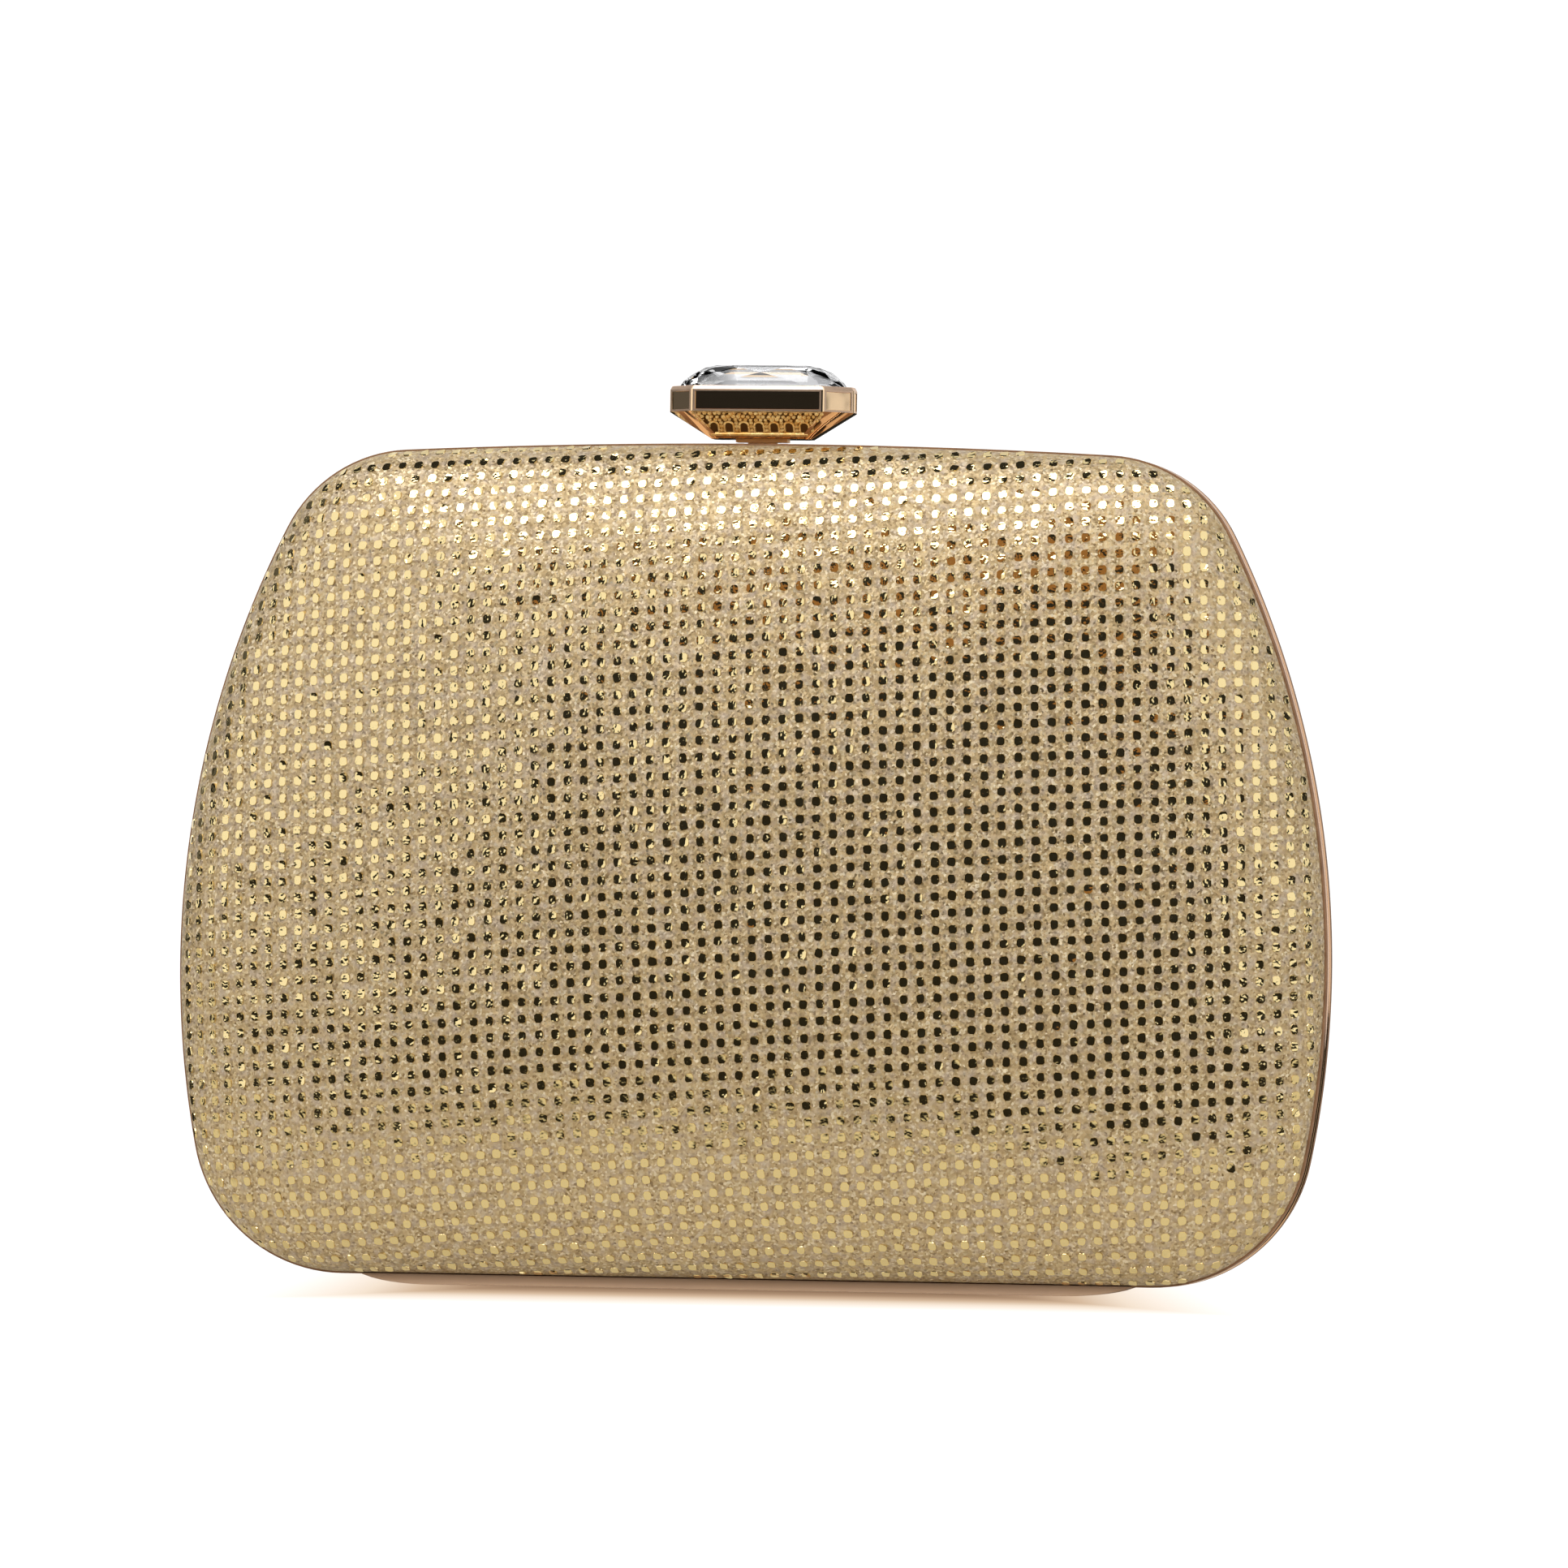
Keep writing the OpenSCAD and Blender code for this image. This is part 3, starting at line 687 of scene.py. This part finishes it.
def lining_half_width(z, y):
    """How far from the middle the lining's inner surface is, at height z and depth y."""
    height = DOME_H - LINING_INNER
    share = (1 - ((y - RIM_Y) / height) ** (1 / DOME_EDGE)) ** (1 / DOME_POWER)
    level = ring(LINING_INNER, share, y)
    right = level[level[:, 0] > 0]
    right = right[np.argsort(right[:, 2])]
    widest = right[:, 0]
    heights = right[:, 2]
    if z <= heights[0] or z >= heights[-1]:
        return 0.0
    return float(np.interp(z, heights, widest))


POCKET_Y, POCKET_T, POCKET_TOP = 12.0, 0.7, 84.0


def make_pocket():
    """Slip pocket of satin, with a hem along its mouth and soft gathers below it."""
    lows = [z for z in np.arange(8, 40, 0.1) if lining_half_width(z, POCKET_Y) > 0]
    low = lows[0] + 0.4
    rows, columns = 60, 90
    levels = np.linspace(low, POCKET_TOP, rows)
    front, back = [], []
    for z in levels:
        half = max(lining_half_width(z, POCKET_Y) - 0.3, 1.0)
        t = np.linspace(-1, 1, columns)
        x = t * half
        rise = np.clip((z - low) / (POCKET_TOP - low), 0, 1)
        gather = 0.22 * np.sin(x * 0.55 + 0.8 * np.sin(z * 0.09)) * rise * (1 - t**4)
        hem = 0.25 if z > POCKET_TOP - 4.5 else 0.0
        stitch = -0.12 if abs(z - (POCKET_TOP - 5)) < 0.8 else 0.0
        face = POCKET_Y + gather - hem - stitch
        front.append(np.column_stack([x, face, np.full(columns, z)]))
        back.append(np.column_stack([x[::-1], (face + POCKET_T)[::-1], np.full(columns, z)]))
    rings = [np.vstack([f, b]) for f, b in zip(front, back)]
    verts, faces = loft(rings)
    size, last = 2 * columns, (rows - 1) * 2 * columns
    for base in (0, last):
        faces += [
            (base + k, base + k + 1, base + size - 2 - k, base + size - 1 - k)
            for k in range(columns - 1)
        ]
    obj = add_object("satin_slip_pocket", verts, faces, 60)
    paint(obj, SATIN)
    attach(obj, "rear_half")
    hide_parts("slip_pocket")
    return obj


# ---------------------------------------------------------------------------
# Knob: setting, pierced panels and crystal
# ---------------------------------------------------------------------------
bezel_low, bezel_high = (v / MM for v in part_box("bezel"))
KNOB_Y = (bezel_low.y + bezel_high.y) / 2
BEZEL_Z, RIM_Z = bezel_low.z, bezel_high.z
BEZEL_W, BEZEL_D = bezel_high.x - bezel_low.x, bezel_high.y - bezel_low.y
GIRDLE_Z = BEZEL_Z + 4.3
BEZEL_CUT, BOTTOM_W, BOTTOM_D, BOTTOM_CUT = 4.4, 16.8, 5.6, 1.0
BEZEL_WALL = 0.9
WALL_BORDER = 0.45


def octagon(width, depth, cut, z):
    """Eight-sided plan of a rectangle with its corners cut off, round the knob's middle."""
    x, y = width / 2, depth / 2
    plan = [(-x, cut - y), (cut - x, -y), (x - cut, -y), (x, cut - y)]
    plan += [(x, y - cut), (x - cut, y), (cut - x, y), (-x, y - cut)]
    return [(a, b + KNOB_Y, z) for a, b in plan]


def soft_octagon(width, depth, cut, z, turn):
    """The same plan with each corner turned into a short run of points."""
    corners = np.array(octagon(width, depth, cut, z))
    points = []
    for k, corner in enumerate(corners):
        before, after = corners[k - 1] - corner, corners[(k + 1) % 8] - corner
        a = corner + before / np.linalg.norm(before) * turn
        b = corner + after / np.linalg.norm(after) * turn
        for t in (0.0, 0.33, 0.67, 1.0):
            points.append(tuple((1 - t) ** 2 * a + 2 * t * (1 - t) * corner + t * t * b))
    return points


def make_bezel():
    cup = 2 * BEZEL_WALL
    inner_cut = BEZEL_CUT - 0.5
    lip, slant = 0.62, 0.26
    w, d, cut = BEZEL_W, BEZEL_D, BEZEL_CUT
    rings = [
        soft_octagon(BOTTOM_W - cup, BOTTOM_D - cup, BOTTOM_CUT, BEZEL_Z + 1.0, 0.1),
        soft_octagon(w - cup, d - cup, inner_cut, GIRDLE_Z + 0.4, 0.2),
        soft_octagon(w - cup, d - cup, inner_cut, RIM_Z, 0.2),
        soft_octagon(w - 2 * slant - 0.1, d - 2 * slant - 0.1, cut - slant / 2, RIM_Z, 0.4),
        soft_octagon(w - 2 * slant, d - 2 * slant, cut - slant / 2, RIM_Z - 0.06, 0.4),
        soft_octagon(w, d, cut, RIM_Z - lip, 0.3),
        soft_octagon(w, d, cut, GIRDLE_Z + 0.1, 0.3),
        soft_octagon(w - 0.12, d - 0.12, cut, GIRDLE_Z, 0.12),
        soft_octagon(BOTTOM_W, BOTTOM_D, BOTTOM_CUT, BEZEL_Z + 0.08, 0.12),
        soft_octagon(BOTTOM_W - 0.16, BOTTOM_D - 0.16, BOTTOM_CUT, BEZEL_Z, 0.12),
    ]
    verts, faces = loft(rings)
    size, last = len(rings[0]), len(rings) * len(rings[0])
    faces += [tuple(range(size)), tuple(range(last - size, last))]
    obj = add_object("knob_setting", verts, faces, 20)
    paint(obj, BEZEL_GOLD, LIP_GOLD, SILVER_FOIL, RECESS_SHADE)
    bm = bmesh.new()
    bm.from_mesh(obj.data)
    middle = Vector((0, KNOB_Y * MM, 0))
    walls, tapers = [], []
    for face in bm.faces:
        centre = face.calc_center_median()
        outward = (centre - middle).to_2d().dot(face.normal.to_2d()) > 0
        wide = face.calc_area() > 5e-6
        if outward and face.normal.z > 0.1 and face.normal.z < 0.9:
            face.material_index = 1
        elif outward and wide and abs(face.normal.z) < 0.1:
            walls.append(face)
        elif outward and face.calc_area() > 30e-6 and -0.95 < face.normal.z < -0.3:
            if abs(face.normal.y) > 0.3 and abs(face.normal.x) < 0.1:
                tapers.append(face)
    for face in bm.faces:
        centre = face.calc_center_median()
        inward = (centre - middle).to_2d().dot(face.normal.to_2d()) < 0
        if inward and centre.z > (GIRDLE_Z + 0.5) * MM and abs(face.normal.z) < 0.5:
            face.material_index = 2
    for face in walls:
        made = bmesh.ops.inset_individual(bm, faces=[face], thickness=WALL_BORDER * MM, depth=0)
        for edge_face in made["faces"]:
            edge_face.material_index = 1
    bmesh.ops.inset_individual(bm, faces=walls, thickness=0.06 * MM, depth=-0.14 * MM)
    bmesh.ops.inset_individual(bm, faces=tapers, thickness=0.45 * MM, depth=0)
    bmesh.ops.inset_individual(bm, faces=tapers, thickness=0.1 * MM, depth=-0.35 * MM)
    # The sunk taper panels take the dark painted shade that stands for the shadow behind the arches
    for face in tapers:
        face.material_index = 3
    bm.to_mesh(obj.data)
    bm.free()
    obj.data.set_sharp_from_angle(angle=math.radians(20))
    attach(obj, "knob")
    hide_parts("bezel")


def ball(centre, radius, frame_axes, flatten=0.6):
    """A small bead, flattened against the panel that it sits on."""
    rings, sides, levels = [], 8, 4
    right, up, out = frame_axes
    for k in range(1, levels):
        a = math.pi / 2 * (1 - k / levels)
        r, h = radius * math.cos(a), radius * flatten * math.sin(a)
        rings.append([
            centre + right * r * math.cos(2 * math.pi * i / sides)
            + up * r * math.sin(2 * math.pi * i / sides) + out * h
            for i in range(sides)
        ])
    rings.append([
        centre + right * radius * math.cos(2 * math.pi * i / sides)
        + up * radius * math.sin(2 * math.pi * i / sides) - out * 0.1
        for i in range(sides)
    ])
    return loft(rings, centre + out * radius * flatten, centre - out * 0.1)


def wire(points, radius, normal, sides=6):
    """A round wire along points that lie in a plane."""
    rings = []
    for k, p in enumerate(points):
        ahead = points[min(k + 1, len(points) - 1)] - points[max(k - 1, 0)]
        along = ahead / np.linalg.norm(ahead)
        across = np.cross(along, normal)
        rings.append([
            p + radius * (math.cos(2 * math.pi * i / sides) * across
                          + math.sin(2 * math.pi * i / sides) * normal)
            for i in range(sides)
        ])
    return loft(rings, points[0], points[-1])


def filigree_panel(turn):
    """Arcade of small arches standing on a wire, with beads between them and a band of beads above it."""
    run, rise = (BEZEL_D - BOTTOM_D) / 2, GIRDLE_Z - BEZEL_Z
    slope = math.hypot(run, rise)
    up = np.array([0, -run / slope, rise / slope])
    right = np.array([1.0, 0, 0])
    out = np.cross(right, up)
    origin = np.array([0, -BOTTOM_D / 2, BEZEL_Z]) - 0.32 * out
    parts = []

    def at(a, b):
        return origin + right * a + up * b

    cells, pitch = 7, 2.5
    low, mid, high = 1.1, 2.7, slope - 0.5

    def half_at(b):
        return BOTTOM_W / 2 + (BEZEL_W / 2 - BEZEL_CUT - BOTTOM_W / 2 + BOTTOM_CUT) * b / slope - 1.0

    rail_half = half_at(low) - 0.1
    parts.append(wire([at(-rail_half, 0.72), at(0, 0.72), at(rail_half, 0.72)], 0.36, out))
    for k in range(cells):
        x = (k - (cells - 1) / 2) * pitch
        r = pitch * 0.31
        arch = [at(x - r, low)] + [
            at(x - r * math.cos(math.pi * i / 8), mid - 0.35 + r * math.sin(math.pi * i / 8))
            for i in range(9)
        ] + [at(x + r, low)]
        parts.append(wire(arch, 0.2, out))
        parts.append(ball(at(x + pitch / 2, low + 0.35), 0.34, (right, up, out)))
        parts.append(ball(at(x + pitch / 2, low + 1.1), 0.38, (right, up, out)))
        parts.append(ball(at(x + pitch / 2, low + 1.8), 0.36, (right, up, out)))
    row = low + 2.45
    while row < high:
        half = half_at(row)
        count = int(2 * half / 0.84)
        for k in range(count + 1):
            jitter = rng.normal(0, 0.09, 2)
            x = -half + 2 * half * k / count
            place = at(x + jitter[0], row + jitter[1])
            parts.append(ball(place, 0.37 + 0.5 * jitter[0], (right, up, out), 0.95))
        row += 0.62
    verts, faces = join(*parts)
    c, s = math.cos(turn), math.sin(turn)
    verts = [(x * c - y * s, x * s + y * c + KNOB_Y, z) for x, y, z in verts]
    return verts, faces


def make_filigree():
    verts, faces = join(filigree_panel(0), filigree_panel(math.pi))
    obj = add_object("knob_filigree", verts, faces, 50)
    paint(obj, CELL_GOLD)
    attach(obj, "knob")
    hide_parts("bezel_filigree")


def make_neck():
    """Two small shoulders on the frame's top plate, either side of the knob's stem."""
    section = rounded_section(0.3, 2.7, BODY_TOP - 0.2, BODY_TOP + 0.5, 0.12)
    parts = []
    for side in (-1, 1):
        near, far = side * (STEM_ROOM + 0.05), side * 4.3
        rings = [[(x, y, z) for y, z in section] for x in (near, far)]
        middle = (1.5, BODY_TOP + 0.15)
        parts.append(loft(rings, (near, *middle), (far, *middle)))
    obj = add_object("clasp_shoulders", *join(*parts), 40)
    paint(obj, NECK_GOLD)
    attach(obj, "rear_half")


def hull_object(name, points):
    """The convex solid round a set of points, with flat facets."""
    mesh = bpy.data.meshes.new(name)
    bm = bmesh.new()
    for p in points:
        bm.verts.new([c * MM for c in p])
    made = bmesh.ops.convex_hull(bm, input=bm.verts)
    loose = [v for v in made["geom_interior"] if isinstance(v, bmesh.types.BMVert)]
    bmesh.ops.delete(bm, geom=loose, context="VERTS")
    bmesh.ops.dissolve_limit(bm, angle_limit=math.radians(1), verts=bm.verts, edges=bm.edges)
    bmesh.ops.recalc_face_normals(bm, faces=bm.faces)
    bm.to_mesh(mesh)
    bm.free()
    obj = bpy.data.objects.new(name, mesh)
    bpy.context.scene.collection.objects.link(obj)
    return obj


def cushion(width, depth, power, z, count, phase=0.0):
    """A rounded rectangle of points, for one level of the crystal's cut."""
    points = []
    for k in range(count):
        a = 2 * math.pi * (k + phase) / count
        c, s = math.cos(a), math.sin(a)
        points.append((
            math.copysign(abs(c) ** power, c) * width / 2,
            math.copysign(abs(s) ** power, s) * depth / 2 + KNOB_Y,
            z,
        ))
    return points


def make_crystal():
    low, high = (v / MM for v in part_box("crystal"))
    w, d = high.x - low.x, high.y - low.y
    belt = RIM_Z - 1.2
    top = high.z
    cut = BEZEL_CUT - 0.5
    points = octagon(w, d, cut, belt - 0.4) + octagon(w, d, cut, belt + 0.3)
    points += cushion(w - 2.4, d - 1.2, 0.55, RIM_Z + 0.9, 16, 0.5)
    points += cushion(w - 5.6, d - 2.6, 0.6, RIM_Z + 2.3, 12)
    points += cushion(w - 9.2, d - 4.2, 0.65, RIM_Z + 3.1, 12, 0.5)
    points += cushion(w - 12.5, d - 5.8, 0.7, top, 8, 0.5)
    points += octagon(w - 17, d - 6.5, 0.8, low.z)
    points += octagon(w - 8, d - 3.4, cut * 0.7, belt - 2.6)
    obj = hull_object("knob_crystal", points)
    paint(obj, GLASS)
    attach(obj, "knob")
    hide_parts("crystal")
    seat_w, seat_d = BEZEL_W - 2 * BEZEL_WALL - 0.06, BEZEL_D - 2 * BEZEL_WALL - 0.06
    rings = [
        octagon(seat_w, seat_d, cut, belt - 0.6),
        octagon(seat_w - 6.5, seat_d - 2.8, cut * 0.7, belt - 3.2),
        octagon(w - 16.4, d - 5.9, 0.8, low.z - 0.2),
        octagon(w - 16.8, d - 6.3, 0.8, low.z - 0.35),
        octagon(seat_w - 6.9, seat_d - 3.2, cut * 0.7, belt - 3.4),
        octagon(seat_w, seat_d, cut, belt - 0.9),
    ]
    verts, faces = loft(rings, closed=True)
    faces = [f for f in faces if not (all(16 <= i < 32 for i in f))]
    faces += [tuple(range(16, 24)), tuple(range(24, 32))]
    seat = add_object("crystal_foil_seat", verts, faces, 15)
    paint(seat, SILVER_FOIL)
    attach(seat, "knob")


# ---------------------------------------------------------------------------
# CAD pieces that stay as they are, with their finish
# ---------------------------------------------------------------------------
KEPT = {
    "frame_lip": GOLD, "clasp_plate": GOLD, "clasp_lever": NECK_GOLD,
    "rear_hinge_leaf": BRASS, "front_hinge_leaf": BRASS,
    "rear_hinge_rivets": BRASS, "front_hinge_rivets": BRASS,
    "bracket_rivets": BRASS, "catch_rivets": BRASS,
    "hinge_pin": STEEL, "clasp_bracket": STEEL, "clasp_pivot_pin": STEEL,
    "clasp_spring": STEEL, "knob_screws": STEEL, "catch_keeper": STEEL,
}


def finish_cad_pieces():
    for node, material in KEPT.items():
        paint(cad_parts[node], material)


# ---------------------------------------------------------------------------
# Stage, light and camera
# ---------------------------------------------------------------------------
def softbox(name, azimuth, elevation, width, height, strength, colour=(1, 1, 1)):
    """A glowing panel that faces the bag, unseen by the camera."""
    distance, aim = 1.3, (0, 0, 0.08)
    a, e = math.radians(azimuth), math.radians(elevation)
    back = Vector((math.sin(a) * math.cos(e), -math.cos(a) * math.cos(e), math.sin(e)))
    w, h = (distance * math.tan(math.radians(size)) for size in (width, height))
    mesh = bpy.data.meshes.new(name)
    mesh.from_pydata([(-w, -h, 0), (w, -h, 0), (w, h, 0), (-w, h, 0)], [], [(0, 1, 2, 3)])
    obj = bpy.data.objects.new(name, mesh)
    bpy.context.scene.collection.objects.link(obj)
    turn = back.to_track_quat("Z", "Y").to_matrix().to_4x4()
    obj.matrix_world = Matrix.Translation(Vector(aim) + back * distance) @ turn
    m = bpy.data.materials.new(name)
    m.use_nodes = True
    nodes, links = m.node_tree.nodes, m.node_tree.links
    nodes.remove(nodes["Principled BSDF"])
    glow = nodes.new("ShaderNodeEmission")
    glow.inputs["Strength"].default_value = strength
    glow.inputs["Color"].default_value = (*colour, 1)
    links.new(glow.outputs[0], nodes["Material Output"].inputs["Surface"])
    obj.data.materials.append(m)
    obj.visible_camera = False
    obj.visible_shadow = False
    return obj


# How far the floor's painted shadow and painted warm reflection of the bag reach in front of the bag and
# behind it, where they start and stop fading to each side, and how they slant with the camera's direction
PAINTED_SHADOW_FRONT, PAINTED_SHADOW_BEHIND = 0.19, 0.5
PAINTED_SHADOW_SIDE = (0.03, 0.085)
PAINTED_SHADOW_SLANT = 0.176
WHITE_GLOW = 1.1


def make_floor():
    """A pale floor that runs into the white background. Seen nearly edge on it glows to the camera
    with a painted shadow and painted warm reflection of the bag, and seen from higher up it melts
    into the white. Polished pieces see only the part of it close to the bag, which glows to them as
    painted light, as in a dark studio. Nothing under it is shaded by it, so the open lid, which
    hangs lower than the foot rail, stays lit."""
    size = 6.0
    mesh = bpy.data.meshes.new("floor")
    corners = [(-size, -size, 0), (size, -size, 0), (size, size, 0), (-size, size, 0)]
    mesh.from_pydata(corners, [], [(0, 1, 2, 3)])
    obj = bpy.data.objects.new("floor", mesh)
    bpy.context.scene.collection.objects.link(obj)
    obj.location.z = -0.0001
    m = Shader("pale_floor").set(Roughness=0.9, Specular_IOR_Level=0.1, Base_Color=(0.95, 0.93, 0.9, 1))
    place = m.add("NewGeometry").outputs["Position"]
    split = m.add("SeparateXYZ", {0: place})
    back = m.add("Math", {0: split.outputs["Y"]}, operation="ABSOLUTE").outputs[0]
    slanted = m.add(
        "Math", {0: split.outputs["Y"], 1: PAINTED_SHADOW_SLANT, 2: split.outputs["X"]}, operation="MULTIPLY_ADD"
    )
    aside = m.add("Math", {0: slanted.outputs[0]}, operation="ABSOLUTE").outputs[0]
    path = m.add("LightPath")
    # Mirrors see the floor as a glowing ramp of painted light: dimmer right at the bag, brighter close to it,
    # dark further out
    distance = m.add("MapRange", {"Value": back, "From Min": 0.0, "From Max": 0.1})
    mirrored = m.ramp(distance.outputs[0], [
        (0.0, (0.5, 0.46, 0.38)), (0.2, (0.70, 0.66, 0.57)),
        (0.62, (0.70, 0.66, 0.57)), (1.0, (0.02, 0.018, 0.014)),
    ])
    shade = m.add("Emission", {"Color": mirrored, "Strength": 1.0})
    seen = m.add("MixShader", {
        0: path.outputs["Is Glossy Ray"], 1: m.shader.outputs[0], 2: shade.outputs[0],
    })
    in_front = m.add("MapRange", {"Value": split.outputs["Y"], "From Min": 0.0, "From Max": -PAINTED_SHADOW_FRONT})
    behind = m.add("MapRange", {"Value": split.outputs["Y"], "From Min": 0.0, "From Max": PAINTED_SHADOW_BEHIND})
    off_front = m.add("Math", {0: in_front.outputs[0], 1: behind.outputs[0]}, operation="MAXIMUM")
    off_side = m.add("MapRange", {
        "Value": aside, "From Min": PAINTED_SHADOW_SIDE[0], "From Max": PAINTED_SHADOW_SIDE[1],
    }, interpolation_type="SMOOTHSTEP")
    clear = m.add("Math", {0: off_front.outputs[0], 1: off_side.outputs[0]}, operation="MAXIMUM")
    steep = m.add("MapRange", {
        "Value": m.add("LayerWeight", {"Blend": 0.5}).outputs["Facing"],
        "From Min": 0.975, "From Max": 0.93,
    })
    # Painted shadow and painted warm reflection of the bag, dark brown at the bag and white further out,
    # glowing to the camera
    warm = m.ramp(clear.outputs[0], [
        (0.0, (0.27, 0.17, 0.1)), (0.2, (0.4, 0.26, 0.165)), (0.4, (0.62, 0.45, 0.31)),
        (0.6, (0.84, 0.71, 0.58)), (0.8, (0.94, 0.86, 0.78)), (1.0, (1, 1, 1)),
    ])
    glow = m.add("Emission", {"Color": warm, "Strength": WHITE_GLOW})
    low_view = m.add("MixShader", {
        0: steep.outputs[0], 1: glow.outputs[0], 2: m.add("BsdfTransparent").outputs[0],
    })
    lit = m.add("MixShader", {
        0: path.outputs["Is Camera Ray"], 1: seen.outputs[0], 2: low_view.outputs[0],
    })
    open_below = m.add("MixShader", {
        0: m.add("NewGeometry").outputs["Backfacing"],
        1: lit.outputs[0], 2: m.add("BsdfTransparent").outputs[0],
    })
    m.links.new(open_below.outputs[0], m.nodes["Material Output"].inputs["Surface"])
    obj.data.materials.append(m.material)


def make_world():
    """White to the camera and to matt surfaces. Mirrors see a dark studio with a pale back,
    and the crystal sees a bright one with dark sides."""
    world = bpy.data.worlds.new("studio")
    bpy.context.scene.world = world
    world.use_nodes = True
    nodes, links = world.node_tree.nodes, world.node_tree.links
    nodes.clear()

    def background(strength):
        node = nodes.new("ShaderNodeBackground")
        node.inputs["Color"].default_value = (1, 1, 1, 1)
        if isinstance(strength, bpy.types.NodeSocket):
            links.new(strength, node.inputs["Strength"])
        else:
            node.inputs["Strength"].default_value = strength
        return node.outputs[0]

    def smooth(value, start, end, low, high):
        node = nodes.new("ShaderNodeMapRange")
        node.interpolation_type = "SMOOTHSTEP"
        links.new(value, node.inputs["Value"])
        for key, number in zip(("From Min", "From Max", "To Min", "To Max"), (start, end, low, high)):
            node.inputs[key].default_value = number
        return node.outputs[0]

    def choose(switch, no, yes):
        node = nodes.new("ShaderNodeMixShader")
        links.new(switch, node.inputs[0])
        links.new(no, node.inputs[1])
        links.new(yes, node.inputs[2])
        return node.outputs[0]

    path = nodes.new("ShaderNodeLightPath")
    split = nodes.new("ShaderNodeSeparateXYZ")
    links.new(nodes.new("ShaderNodeTexCoord").outputs["Generated"], split.inputs[0])
    sideways = nodes.new("ShaderNodeMath")
    sideways.operation = "ABSOLUTE"
    links.new(split.outputs["X"], sideways.inputs[0])
    mirror = background(smooth(split.outputs["Y"], 0.35, 0.75, 0.02, 0.78))
    jewel = background(smooth(sideways.outputs[0], 0.35, 0.75, 1.0, 0.12))
    glossy = choose(path.outputs["Is Glossy Ray"], background(0.72), mirror)
    through = choose(path.outputs["Is Transmission Ray"], glossy, jewel)
    final = choose(path.outputs["Is Camera Ray"], through, background(WHITE_GLOW))
    links.new(final, nodes.new("ShaderNodeOutputWorld").inputs[0])


def make_camera():
    """Long lens close to the floor, a little to the bag's right, with a slight roll."""
    azimuth, elevation, roll = math.radians(10.0), math.radians(-1.2), math.radians(0.91)
    distance, field = 2.4, 0.257
    back = Vector((
        math.sin(azimuth) * math.cos(elevation),
        -math.cos(azimuth) * math.cos(elevation),
        math.sin(elevation),
    ))
    turn = back.to_track_quat("Z", "Y").to_matrix().to_4x4() @ Matrix.Rotation(roll, 4, "Z")
    aim = Vector((0, 0, 0.083)) + turn.to_3x3() @ Vector((0.0046, -0.0001, 0))
    data = bpy.data.cameras.new("camera")
    camera = bpy.data.objects.new("camera", data)
    bpy.context.scene.collection.objects.link(camera)
    data.sensor_width = 36
    data.lens = data.sensor_width * distance / field
    data.clip_start = 0.05
    data.clip_end = 50
    camera.matrix_world = Matrix.Translation(aim + back * distance) @ turn
    bpy.context.scene.camera = camera


def make_light():
    softbox("left_softbox", -56, 16, 28, 37, 1.0)
    softbox("right_softbox", 49, 16, 20, 37, 0.97)
    softbox("top_softbox", 0, 60, 46, 15, 4.2)
    softbox("warm_top_panel", 5, 33, 17, 9, 0.3, (1.0, 0.50, 0.2))
    softbox("right_side_panel", 89, 12, 9, 26, 0.85)
    softbox("left_side_panel", -103, 12, 9, 26, 0.1)
    softbox("rear_top_softbox", 180, 52, 40, 20, 0.75)
    softbox("rear_left_softbox", -140, 20, 15, 30, 0.9)
    softbox("rear_right_softbox", 140, 20, 15, 30, 0.9)
    bpy.context.scene.view_settings.view_transform = "Standard"


make_camera()
make_world()
make_floor()
make_light()
covers = make_covers()
make_shells()
dots = make_dots()
make_frames()
linings = make_linings()
pocket = make_pocket()
make_bezel()
make_filigree()
make_neck()
make_crystal()
finish_cad_pieces()
